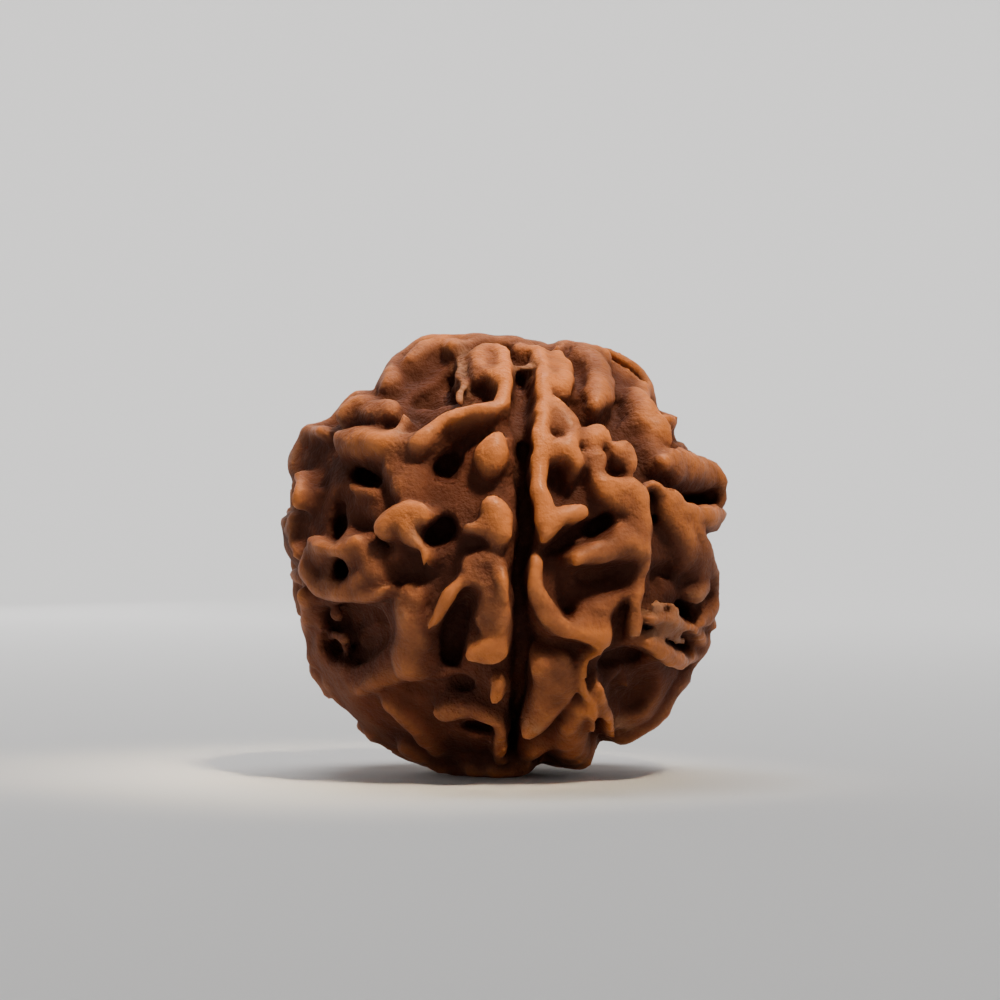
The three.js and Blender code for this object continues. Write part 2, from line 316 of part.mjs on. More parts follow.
// A cord is a chain of balls. A raised cord has walls below it, a sunk one has walls above it,
// and a cord whose spread is null has none.
function makeCord(points, raised, spread) {
  const middle = new THREE.Vector3();
  for (const { at } of points) middle.add(at);
  const centre = middle.clone().normalize();
  const pieces = [];
  for (let i = 0; i < Math.max(1, points.length - 1); i += 1) {
    const a = points[i];
    const b = points[Math.min(i + 1, points.length - 1)];
    const along = b.at.clone().sub(a.at);
    const axis = a.axis ? a.axis.clone().add(b.axis).multiplyScalar(0.5) : null;
    const lean = axis ? axis.multiplyScalar(a.radius / a.axis.dot(a.at)) : null;
    const size = along.lengthSq();
    const rise = b.radius - a.radius;
    pieces.push({ at: a.at, along, size, half: a.half, grow: b.half - a.half, foot: a.radius, rise, lean });
  }
  let reach = 0;
  for (const { at, half, radius, axis } of points) {
    const widest = (half + Math.abs(crestRadius - radius) * (spread ?? 0) + 1.3) / radius;
    const toMouth = axis ? (crestRadius - radius) * radius / axis.dot(at) : 0;
    const mouth = axis ? at.clone().addScaledVector(axis, toMouth) : at;
    reach = Math.max(reach, at.angleTo(centre) + widest, mouth.angleTo(centre) + widest);
  }
  return { pieces, raised, spread, centre, reach, nearCosine: Math.cos(Math.min(Math.PI, reach)) };
}

function cordDistance(cord, x, y, z, radius) {
  let best = crestRadius;
  for (const { at, along, size, half, grow, foot, rise, lean } of cord.pieces) {
    // Where along the piece the place lies, first roughly and then with the radius found there
    let t = 0.5;
    let away = 0;
    for (let repeat = 0; repeat < 2; repeat += 1) {
      const line = foot + rise * t;
      const beyond = cord.spread === null ? 0 : Math.max(0, cord.raised ? line - radius : radius - line);
      const scale = beyond > 0 && !lean ? line / radius : 1;
      const px = x * scale - (lean ? lean.x * beyond : 0) - at.x;
      const py = y * scale - (lean ? lean.y * beyond : 0) - at.y;
      const pz = z * scale - (lean ? lean.z * beyond : 0) - at.z;
      t = size > 0 ? Math.min(1, Math.max(0, (px * along.x + py * along.y + pz * along.z) / size)) : 0;
      const dx = px - along.x * t;
      const dy = py - along.y * t;
      const dz = pz - along.z * t;
      away = Math.sqrt(dx * dx + dy * dy + dz * dz) - half - grow * t - beyond * (cord.spread ?? 0);
    }
    best = Math.min(best, away);
  }
  return best;
}

function raisedFromFront(drop, path, spread) {
  const points = eased(path).map(([across, up, half]) => {
    const radius = crestRadius - drop - half;
    return { at: fromFront(across, up, radius), half, radius };
  });
  return makeCord(points, true, spread);
}

function sunkFromFront([, floor, spread, path]) {
  const points = eased(path).map(([across, up, half]) => {
    const mouth = fromFront(across, up, pitMouth);
    const axis = leaned(mouth);
    const depth = (pitMouth - floor - half) * pitMouth / axis.dot(mouth);
    const at = mouth.clone().addScaledVector(axis, -depth);
    return { at, half: half * pitSlim, radius: at.length(), axis };
  });
  return makeCord(points, false, spread);
}

function raisedFromAngles(drop, path, spread) {
  const points = eased(path).map(([around, upward, half]) => {
    const radius = crestRadius - drop - half;
    return { at: fromAngles(around, upward, radius), half, radius };
  });
  return makeCord(points, true, spread);
}

function sunkFromAngles(floor, path, spread) {
  const points = eased(path).map(([around, upward, half]) => {
    const radius = floor + half;
    return { at: fromAngles(around, upward, radius), half: half * pitSlim * radius / crestRadius, radius };
  });
  return makeCord(points, false, spread);
}

const bodies = frontBodies.map(([, drop, path]) => raisedFromFront(drop, path, bodyFlare));
const bowls = frontBowls.map(sunkFromFront);
const ridges = frontRidges.map(([, drop, path]) => raisedFromFront(drop, path, ridgeFlare));
const fibres = frontFibres.map(([, drop, path]) => raisedFromFront(drop, path, null));
const pits = frontPits.map(sunkFromFront);

// The lobes out of sight are grown from the random draws. What would stand in front is left out.
function keepHidden(cord, list) {
  if (-cord.centre.y < Math.cos(THREE.MathUtils.degToRad(frontReach))) list.push(cord);
}

function addHiddenRidge(drop, path) {
  keepHidden(raisedFromAngles(drop, path, ridgeFlare), ridges);
}

// One lip of a seam: a run of lobes with gaps, each with its ends curled away from the seam
function addLip(seam, side) {
  let upward = 64 - draw(0, 6);
  while (upward > -60) {
    const run = Math.min(draw(14, 40), upward + 66);
    const half = draw(0.5, 0.75);
    const steps = Math.max(2, Math.floor(run / 7 + 0.5));
    const path = [];
    for (let i = 0; i <= steps; i += 1) {
      const lift = upward - run * i / steps;
      const atEnd = i === 0 || i === steps;
      const curl = atEnd ? draw(0.5, 1.6) : draw(0, 0.5);
      const offset = (0.5 + half + curl) / crestRadius / Math.cos(THREE.MathUtils.degToRad(lift));
      path.push([seam + side * THREE.MathUtils.radToDeg(offset), lift, half * (atEnd ? 0.9 : 1)]);
    }
    addHiddenRidge(draw(0, 0.15), path);
    upward -= run + draw(3, 6);
  }
}

// What grows between the lips: branches that curl, knobs and cross ridges, with pits among them
function addLobe(left, right) {
  const middle = (left + right) / 2;
  const width = (right - left) / 2;
  let upward = 60 - draw(0, 8);
  while (upward > -64) {
    const side = draw(0, 1) < 0.5 ? -1 : 1;
    const kind = draw(0, 1);
    const bend = draw(-7, 7);
    const half = draw(0.45, 0.65);
    const start = middle + side * width * 0.62;
    if (kind < 0.5) {
      const tip = middle - side * width * draw(0, 0.25);
      addHiddenRidge(draw(0, 0.3), [[start, upward, half], [(start + tip) / 2, upward + bend * 0.3, half],
        [tip, upward + bend, half * 1.25]]);
      addHiddenRidge(draw(0.1, 0.5), [[middle - side * width * 0.5, upward - 4, draw(0.6, 0.9)]]);
    } else if (kind < 0.8) {
      addHiddenRidge(draw(0.1, 0.4), [[start, upward, half], [middle, upward + bend, half * 1.1],
        [middle - side * width * 0.62, upward + bend * 0.4, half]]);
    } else {
      addHiddenRidge(draw(0, 0.3), [[middle - width * 0.3, upward - 3, half],
        [middle - width * 0.15, upward + 2.5, half], [middle + width * 0.2, upward + 2.5, half],
        [middle + width * 0.32, upward - 4, half]]);
    }
    const low = upward - draw(6, 8);
    const bodyDrop = draw(0.3, 0.7);
    const bodyPath = [[start, low + 4, draw(0.7, 1.1)], [start, low, draw(0.7, 1.1)]];
    keepHidden(raisedFromAngles(bodyDrop, bodyPath, bodyFlare), bodies);
    const hole = middle - side * width * draw(-0.1, 0.4);
    const bowlFloor = draw(11.8, 12.6);
    const bowlPath = [[hole, low + 1, draw(0.4, 0.8)], [hole, low - 2, draw(0.4, 0.7)]];
    keepHidden(sunkFromAngles(bowlFloor, bowlPath, bowlTaper), bowls);
    const pitFloor = draw(11, 12);
    keepHidden(sunkFromAngles(pitFloor, [[hole, low - 0.5, draw(0.35, 0.6)]], pitTaper), pits);
    upward -= draw(12, 17);
  }
}

function addSeam(seam) {
  const path = [];
  for (let upward = 72; upward >= -72; upward -= 8) {
    path.push([seam + draw(-1.2, 1.2), upward, draw(0.25, 0.45)]);
  }
  keepHidden(sunkFromAngles(11.3, path, pitTaper), pits);
}

hiddenSeams.forEach((seam, i) => {
  if (i > 0 && i < hiddenSeams.length - 1) addSeam(seam);
  addLip(seam, -1);
  addLip(seam, 1);
  if (i > 0) addLobe(hiddenSeams[i - 1], seam);
});

// Round each pole every lobe ends in one ridge that runs in towards the axis
const lobeMiddles = [...frontLobes];
for (let i = 1; i < hiddenSeams.length; i += 1) {
  lobeMiddles.push((hiddenSeams[i - 1] + hiddenSeams[i]) / 2);
}
for (const middle of lobeMiddles) {
  const outer = poleReach + (Math.abs(middle) < 60 ? -10 : 4);
  for (const end of [1, -1]) {
    const drop = draw(-0.1, 0);
    ridges.push(raisedFromAngles(drop, [[middle + draw(-5, 5), end * (90 - outer), 0.85],
      [middle + draw(-5, 5), end * (90 - poleGap - 6), 0.95],
      [middle, end * (90 - poleGap - 2), 0.8]], ridgeFlare));
  }
}

// A low collar round each pole, with a blind pit in it where the stalk sat
for (const end of [1, -1]) {
  const collar = [];
  for (let around = 0; around <= 360; around += 30) {
    collar.push([around, end * (90 - collarAngle), collarHalf]);
  }
  ridges.push(raisedFromAngles(-0.1, collar, ridgeFlare));
  pits.push(sunkFromAngles(12.2, [[0, end * 90, 0.75]], pitTaper));
}

// The outline drawn round the front, as a share of the crest radius for each turn round the line of sight
const rims = frontOutline.map(([across, up]) => {
  return { turn: Math.atan2(up, across), share: Math.hypot(across, up) / (crestRadius + 0.05) };
});
rims.sort((a, b) => a.turn - b.turn);
rims.unshift({ turn: rims.at(-1).turn - 2 * Math.PI, share: rims.at(-1).share });
rims.push({ turn: rims[1].turn + 2 * Math.PI, share: rims[1].share });

function rimShare(turn) {
  const next = rims.findIndex((rim) => rim.turn >= turn);
  const a = rims[next - 1];
  const b = rims[next];
  return THREE.MathUtils.mapLinear(turn, a.turn, b.turn, a.share, b.share);
}

// Smooth joining of two distances, and cords joined to a distance or cut out of it
function join(a, b, blend) {
  const near = Math.max(blend - Math.abs(a - b), 0) / blend;
  return Math.min(a, b) - near * near * blend / 4;
}

function lay(distance, cords, spot, blend, sign) {
  let result = distance * sign;
  for (const cord of cords) {
    if (cord.centre.dot(spot.out) < cord.nearCosine) continue;
    result = join(result, cordDistance(cord, spot.x, spot.y, spot.z, spot.radius), blend);
  }
  return result * sign;
}

function bent(a, b, c, turn) {
  return wobble * Math.sin(1.9 * b + 1.3 * c + turn) * Math.sin(1.6 * c - 1.1 * a);
}

// Distance of a place from the surface: above zero outside the stone and below zero in it
function stoneDistance(local, place) {
  const out = place.clone().normalize();
  const off = (THREE.MathUtils.radToDeg(Math.acos(-out.y)) - limbAngle) / limbWidth;
  const limb = Math.exp(-off * off);
  const swell = 1 + (rimShare(Math.atan2(place.z, place.x)) - 1) * limb;
  const { x, y, z } = place.clone().divideScalar(swell);
  const radius = place.length() / swell;
  const lift = 0.16 * Math.sin(0.9 * x + 0.4 * z + 1) * Math.sin(0.8 * y - 0.5 * x)
    + 0.12 * Math.sin(1.1 * z + 0.7 * y + 2);
  const spot = {
    out,
    radius,
    x: x + bent(x, y, z, 0.3),
    y: y + bent(y, z, x, 1.7),
    z: z + bent(z, x, y, 2.9),
  };
  const raised = lay(crestRadius, local.ridges, spot, ridgeBlend, 1) - lift * 0.7;
  const moat = moatDepth * Math.exp(-((Math.max(raised, 0) / moatWidth) ** 2));
  let distance = radius - groundRadius - limbFill * limb - lift + moat;
  distance = lay(distance, local.bodies, spot, bodyBlend, 1);
  distance = lay(distance, local.bowls, spot, bodyBlend, -1);
  distance = join(distance, raised, groundBlend);
  distance = lay(distance, local.pits, spot, pitBlend, -1);
  distance = lay(distance, local.fibres, spot, pitBlend, 1);
  return distance * swell;
}

// How far along a line the surface stands from the mouth of the pits, found from outside
function depthAlong(local, mouth, axis) {
  let step = crestRadius + 0.6 - pitMouth;
  const place = mouth.clone().addScaledVector(axis, step);
  while (place.length() > coreRadius) {
    const distance = stoneDistance(local, place);
    if (distance < 0.005) break;
    step -= Math.min(0.3, Math.max(0.02, distance * 0.8));
    place.copy(mouth).addScaledVector(axis, step);
  }
  return step;
}

// A point of the fine ball moves in along the way that the pits open, until it meets the surface
function settle(out) {
  const near = (cords) => cords.filter((cord) => cord.centre.angleTo(out) < cord.reach + leanReach);
  const local = {
    bodies: near(bodies),
    bowls: near(bowls),
    ridges: near(ridges),
    pits: near(pits),
    fibres: near(fibres),
  };
  const mouth = out.clone().multiplyScalar(pitMouth);
  const axis = leaned(mouth);
  return mouth.addScaledVector(axis, depthAlong(local, mouth, axis));
}

// Each point moves towards the middle of its neighbours, then a little less far back
function smooth(points, faces) {
  const near = points.map(() => new Set());
  for (const [a, b, c] of faces) {
    near[a].add(b).add(c);
    near[b].add(a).add(c);
    near[c].add(a).add(b);
  }
  for (let round = 0; round < smoothRounds * 2; round += 1) {
    const share = round % 2 === 0 ? smoothIn : -smoothOut;
    const moves = points.map((point, i) => {
      const middle = new THREE.Vector3();
      for (const j of near[i]) middle.add(points[j]);
      return middle.divideScalar(near[i].size).sub(point).multiplyScalar(share);
    });
    points.forEach((point, i) => point.add(moves[i]));
  }
}

// The error of a place is its squared distances from the planes of the faces that it stands for.
// The ten numbers are those of a symmetric 4 x 4 matrix, row by row.
function planeError(a, b, c) {
  const normal = b.clone().sub(a).cross(c.clone().sub(a));
  const area = normal.length();
  normal.divideScalar(area);
  const row = [normal.x, normal.y, normal.z, -normal.dot(a)];
  const error = [];
  row.forEach((first, i) => row.slice(i).forEach((second) => error.push(first * second * area)));
  return error;
}

function errorAt(q, { x, y, z }) {
  return x * x * q[0] + y * y * q[4] + z * z * q[7] + q[9]
    + 2 * (x * y * q[1] + x * z * q[2] + y * z * q[5] + x * q[3] + y * q[6] + z * q[8]);
}

function bestPlace(q, a, b) {
  const middle = a.clone().add(b).multiplyScalar(0.5);
  const matrix = new THREE.Matrix3(q[0], q[1], q[2], q[1], q[4], q[5], q[2], q[5], q[7]);
  if (Math.abs(matrix.determinant()) < 1e-6) return middle;
  const best = new THREE.Vector3(-q[3], -q[6], -q[8]).applyMatrix3(matrix.invert());
  return best.distanceTo(middle) < a.distanceTo(b) ? best : middle;
}

// A queue that gives its cheapest entry first
function pushEntry(queue, entry) {
  let i = queue.push(entry) - 1;
  while (i > 0) {
    const parent = (i - 1) >> 1;
    if (queue[parent].cost <= entry.cost) break;
    queue[i] = queue[parent];
    i = parent;
  }
  queue[i] = entry;
}

function popEntry(queue) {
  const first = queue[0];
  const entry = queue.pop();
  let i = 0;
  while (i * 2 + 1 < queue.length) {
    let child = i * 2 + 1;
    if (child + 1 < queue.length && queue[child + 1].cost < queue[child].cost) child += 1;
    if (queue[child].cost >= entry.cost) break;
    queue[i] = queue[child];
    i = child;
  }
  if (queue.length > 0) queue[i] = entry;
  return first;
}

// Edges are closed one by one, the one that moves the surface least first, until few enough faces are left
function thin(points, faces) {
  const around = points.map(() => new Set());
  const errors = points.map(() => new Array(10).fill(0));
  const changes = points.map(() => 0);
  const queue = [];
  const neighbours = (v) => new Set([...around[v]].flatMap((face) => face.filter((other) => other !== v)));
  const offer = (a, b) => {
    const error = errors[a].map((value, i) => value + errors[b][i]);
    const place = bestPlace(error, points[a], points[b]);
    pushEntry(queue, { cost: errorAt(error, place), a, b, place, error, age: changes[a] + changes[b] });
  };
  const turns = (v, other, place) => [...around[v]].some((face) => {
    if (face.includes(other)) return false;
    const old = face.map((i) => points[i]);
    const next = face.map((i) => (i === v ? place : points[i]));
    const before = old[1].clone().sub(old[0]).cross(old[2].clone().sub(old[0]));
    const after = next[1].clone().sub(next[0]).cross(next[2].clone().sub(next[0]));
    return before.dot(after) < turnLimit * before.length() * after.length();
  });
  for (const face of faces) {
    const error = planeError(...face.map((v) => points[v]));
    for (const v of face) {
      around[v].add(face);
      error.forEach((value, i) => { errors[v][i] += value; });
    }
  }
  for (const [a, b, c] of faces) {
    for (const [from, to] of [[a, b], [b, c], [c, a]]) {
      if (from < to) offer(from, to);
    }
  }
  let left = faces.length;
  while (left > faceLimit && queue.length > 0) {
    const { a, b, place, error, age } = popEntry(queue);
    if (around[a].size === 0 || around[b].size === 0 || age !== changes[a] + changes[b]) continue;
    const nearA = neighbours(a);
    const nearB = neighbours(b);
    const shared = [...nearA].filter((v) => nearB.has(v));
    if (shared.length !== 2 || turns(a, b, place) || turns(b, a, place)) continue;
    for (const face of [...around[b]]) {
      if (face.includes(a)) {
        for (const v of face) around[v].delete(face);
        left -= 1;
      } else {
        face[face.indexOf(b)] = a;
        around[a].add(face);
      }
    }
    around[b].clear();
    points[a] = place;
    errors[a] = error;
    changes[a] += 1;
    for (const v of neighbours(a)) offer(a, v);
  }
  return [...new Set(around.flatMap((list) => [...list]))];
}

function makeStone() {
  const ball = new THREE.IcosahedronGeometry(1, meshSplits);
  ball.deleteAttribute('normal');
  ball.deleteAttribute('uv');
  const fine = mergeVertices(ball, 1e-5);
  const points = [];
  for (let i = 0; i < fine.attributes.position.count; i += 1) {
    points.push(settle(new THREE.Vector3().fromBufferAttribute(fine.attributes.position, i).normalize()));
  }
  const corners = Array.from(fine.index.array);
  const faces = [];
  for (let i = 0; i < corners.length; i += 3) faces.push(corners.slice(i, i + 3));
  smooth(points, faces);
  for (const point of points) point.z = Math.max(point.z, -seatDrop);
  const kept = thin(points, faces);
  const used = [...new Set(kept.flat())];
  for (const v of used) {
    if (points[v].z < seatSnap - seatDrop) points[v].z = -seatDrop;
  }
  const order = new Map(used.map((v, i) => [v, i]));
  const stone = new THREE.BufferGeometry().setFromPoints(used.map((v) => points[v]));
  stone.setIndex(kept.flat().map((v) => order.get(v)));
  stone.translate(0, 0, seatDrop);
  return stone;
}

const stoneSurface = new THREE.MeshStandardMaterial({
  color: stoneColour,
  roughness: stoneRoughness,
  metalness: 0,
});
const stone = new THREE.Mesh(makeStone(), stoneSurface);
stone.name = 'rudraksha_stone';

const rudraksha = new THREE.Group();
rudraksha.add(stone);

export default rudraksha;
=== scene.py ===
import math
import time

import bpy
import numpy as np
import openvdb
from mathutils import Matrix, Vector


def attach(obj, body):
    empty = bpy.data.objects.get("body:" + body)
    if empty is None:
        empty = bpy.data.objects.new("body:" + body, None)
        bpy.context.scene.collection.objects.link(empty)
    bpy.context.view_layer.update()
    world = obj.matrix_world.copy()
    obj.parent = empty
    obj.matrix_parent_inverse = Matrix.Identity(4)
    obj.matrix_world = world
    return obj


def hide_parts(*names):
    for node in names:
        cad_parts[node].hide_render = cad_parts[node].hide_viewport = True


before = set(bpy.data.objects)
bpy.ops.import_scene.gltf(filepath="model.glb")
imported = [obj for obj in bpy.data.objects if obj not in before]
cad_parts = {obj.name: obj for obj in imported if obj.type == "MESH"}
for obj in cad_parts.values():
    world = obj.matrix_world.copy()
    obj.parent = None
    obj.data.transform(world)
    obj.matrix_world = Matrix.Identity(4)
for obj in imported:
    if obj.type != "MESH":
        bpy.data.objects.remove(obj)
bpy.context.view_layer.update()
startTime = time.time()


def tell(text, *values):
    print(text % values + ", %.1f s" % (time.time() - startTime))


def addObject(name, data):
    made = bpy.data.objects.new(name, data)
    bpy.context.scene.collection.objects.link(made)
    return made


# The stone is worked out in millimetres round its middle, with the axis upright,
# and becomes a mesh in metres at the very end
sizes = {
    "crestRadius": 15.0,  # middle of the seed to the tops of the ridges
    "outlineRadius": 15.05,  # radius that the outline is measured against
    "groundRadius": 13.3,  # middle to the ground between the ridges
    "coreRadius": 10.4,  # nothing is sunk deeper than this
    "coreDepth": 0.3,  # a point inside that radius counts as at least this deep
    "seatDrop": 14.3,  # the flat seat lies this far below the middle
    "pitMouth": 14.2,  # radius at which the dark mouths of the pits are seen
    "pitLean": 38,  # a pit opens towards the eye by up to this many degrees
    "pitTop": 15.8,  # the walls of a pit are followed up to this radius
    "eyeDistance": 182.7,  # the front was measured by an eye this far from the middle
    "limbFill": 1.1,  # the ground rises by this much towards the outline
    "bodyBlend": 0.7,  # fillet where the broad bodies grow into each other
    "ridgeBlend": 0.4,  # fillet where ridges grow into each other
    "groundBlend": 0.75,  # fillet where ridges grow out of the ground
    "moatDepth": 0.15,  # the ground dips by this much along the foot of every ridge
    "moatWidth": 0.7,
    "pitBlend": 0.35,  # rounding of the mouth of a pit
    "bodyFlare": 0.3,  # a body widens this much for each millimetre below its cord
    "ridgeFlare": 0.1,  # and a ridge this much
    "pitTaper": 0.05,  # a pit widens this much for each millimetre above its floor
    "pitSlim": 0.8,  # floor of a pit against its mouth
    "limbWidth": 16,  # the outline shapes a belt this many degrees to each side
    "limbAngle": 86,  # angle of that belt from the line of sight
    "poleGap": 8,  # angle from the axis at which the ridges round a pole begin
    "poleReach": 29,  # and where they hand over to the lips of the seams
    "poleReachFront": 15,  # the same on the lobes that the front shows
    "collarAngle": 13,  # angle from the axis of the low collar round each pole
    "collarHalf": 0.95,  # half width of the collar
    "stalkPit": (12.2, 0.75),  # the blind pit in the collar: radius of its floor and half width
    "lobeSeed": 20731,  # start of the random draws for the unseen lobes
    "wobble": 0.12,  # depth of the slow bends put into every wall
    "swellShare": 0.7,  # the ridges follow the slow swell of the ground by this share
    "inset": 0.10,  # the surface is drawn in by this much, as room for its fine relief
    "dryReach": 0.35,  # the pale fuzz fades this far from a fibre
    "rubbedLitReach": 0.9,  # and the rubbed paleness, partly painted highlight, this far from the middle of a crest
    "gridRoom": 1.0,  # the grid reaches this far beyond the tops of the ridges
    "gridStep": 0.276,
}

# Broad bodies, as seen from the front: name, drop below the crest radius and the points
# of the cord as [across, up, half width]
frontBodies = [
    ['brow body', 0.4, [-10.2, 7.2, 0.8], [-8.8, 7.2, 1.1], [-7.6, 7.2, 1]],
    ['left plate', 0.65, [-6, 7, 0.9], [-6.6, 6, 1.2], [-6.1, 5, 1.4], [-5.9, 4.1, 1.1]],
    ['lid body', 1.4, [-9, 3.6, 0.6], [-8, 3.2, 0.9], [-7.6, 2.6, 0.9]],
    ['disc', 0.35, [-12.2, 0, 1], [-10.6, 0.7, 0.9], [-9, 0.3, 1.3], [-8, -0.9, 1.5], [-9.6, -1.9, 1],
     [-11.4, -1.9, 0.9], [-12.6, -0.9, 0.8]],
    ['disc middle', 0.65, [-11.6, -0.5, 0.8], [-9.6, -0.4, 1]],
    ['claw root', 1, [-7.6, 1.2, 0.8], [-6.8, 0.4, 0.8]],
    ['pillar', 0.35, [-5.8, -2.6, 1], [-5.9, -3.6, 1.3], [-5.7, -5, 1.4], [-5.7, -6.6, 1.5], [-5.9, -7.3, 1.2]],
    ['pillar foot', 0.9, [-6.8, -7.6, 0.9], [-8.2, -8.2, 0.7], [-9.6, -8.9, 0.6]],
    ['arch body', 0.3, [-1.6, -1.4, 0.8], [-0.8, -2.4, 1], [-0.7, -3.8, 1], [-0.3, -5, 0.9]],
    ['arch head', 0.5, [-2.1, -0.6, 0.7], [-0.8, -0.2, 0.8], [0.1, -0.8, 0.7]],
    ['foot body', 0.15, [-1.7, -6.5, 0.6], [-0.8, -6.3, 0.85], [0, -6, 0.7]],
    ['lip body', 0.25, [-1.4, 13, 0.8], [-1, 12.2, 0.8], [-0.4, 11.4, 0.5]],
    ['crown body', 0.15, [-7.3, 11.2, 0.9], [-6.6, 12.1, 1.2], [-5.4, 12.9, 1.2], [-4.2, 13.4, 1]],
    ['jaw body', 0.5, [-13.1, 4.6, 0.6], [-13.5, 3.2, 0.5], [-13.8, 1.6, 0.5]],
    ['tongue body', 0.35, [5.7, 12.3, 0.8], [6.3, 11.4, 0.9], [6.4, 10.6, 0.8]],
    ['shoulder body', 0.35, [8.6, 10.4, 0.8], [8.9, 9, 1], [9.6, 7.8, 1.1], [9.9, 6.9, 0.8]],
    ['shield', 0.25, [6.8, 4.2, 0.85], [7.7, 3.7, 1], [8.6, 2.9, 1], [9, 1.6, 0.8]],
    ['nose root', 0.35, [7.6, 1.6, 0.7], [8.6, 0.8, 0.9]],
    ['sickle body', 0.7, [5.6, -3.6, 0.7], [6.6, -3.2, 0.95], [7.7, -2.8, 0.85], [8.4, -2.7, 0.6]],
    ['sickle shelf', 0.5, [5.2, -4.4, 0.6], [6.4, -4.2, 0.8], [6.8, -5, 0.6]],
    ['finger shelf', 0.9, [8.3, -4.6, 0.6], [8.5, -5.4, 0.6]],
    ['ear body', 0.25, [11, 5.5, 0.9], [12.2, 5.4, 1], [13.4, 5, 0.9]],
    ['side body', 0.25, [10.8, 3.3, 0.8], [11.3, 2, 1.2], [11.8, 0.6, 1.3], [12.6, -0.4, 1.2], [13, -1.6, 1],
     [12.8, -2.6, 0.7]],
    ['leaf body', 0.3, [2.6, -7.3, 0.8], [3, -8.3, 0.9], [2.5, -9.6, 0.8], [1.9, -11.2, 0.6]],
    ['under lobe', 0.1, [4.9, -10.1, 0.7], [4.5, -11.1, 1.2], [4.3, -12.2, 1.7], [4.4, -13, 1.5],
     [4.5, -14.4, 1.1]],
    ['under heel', 0.35, [2.6, -12.4, 0.8], [1.7, -13.3, 0.7], [1.2, -14, 0.5], [0.8, -14.8, 0.5]],
    ['branch web', 0.4, [3.6, 9.3, 0.75], [3.9, 8.3, 0.85]],
    ['hook web', 0.35, [3.7, 6.7, 0.6], [4.5, 6.3, 0.7]], ['arch knob body', 0.2, [7.8, 6.5, 0.75]],
    ['crown skin', 0.1, [-8, 11.4, 0.7], [-7.2, 12.6, 0.9], [-6, 13.6, 0.9], [-4.6, 14.2, 0.9],
     [-2.8, 14.4, 0.7]],
    ['temple skin', 0.4, [-11, 9.2, 0.6], [-10, 10, 0.7], [-8.6, 10.6, 0.7]],
    ['temple body', 0.35, [-9.7, 9.4, 0.9], [-8.6, 9.6, 0.95], [-7.2, 9.5, 0.8]],
    ['claw palm', 0.35, [-7.2, 1.9, 0.8], [-6.2, 1.8, 0.8], [-5.7, 1, 0.5]],
    ['crown web', 0.5, [7, 13.2, 0.5], [8.4, 12.3, 0.6], [9.5, 11, 0.5]],
    ['bow web', 0.5, [6.1, -8.9, 0.4], [6.3, -9.8, 0.5], [6.6, -11.2, 0.5]],
    ['lip web', 0.45, [3.2, 12.9, 0.6], [3.2, 11, 0.6]],
    ['lip root', 0.55, [-5.2, 7.6, 0.7], [-6.1, 7.2, 0.8], [-7, 7, 0.8]],
    ['temple fill', 0.45, [-9.3, 9.3, 0.8], [-8, 9.2, 0.65], [-7.2, 9.3, 0.5]],
    ['lip leaf', 0.75, [-1.9, 12.9, 0.6], [-1.6, 12.2, 0.6], [-1.5, 11.4, 0.6], [-1.4, 10.6, 0.5]],
]

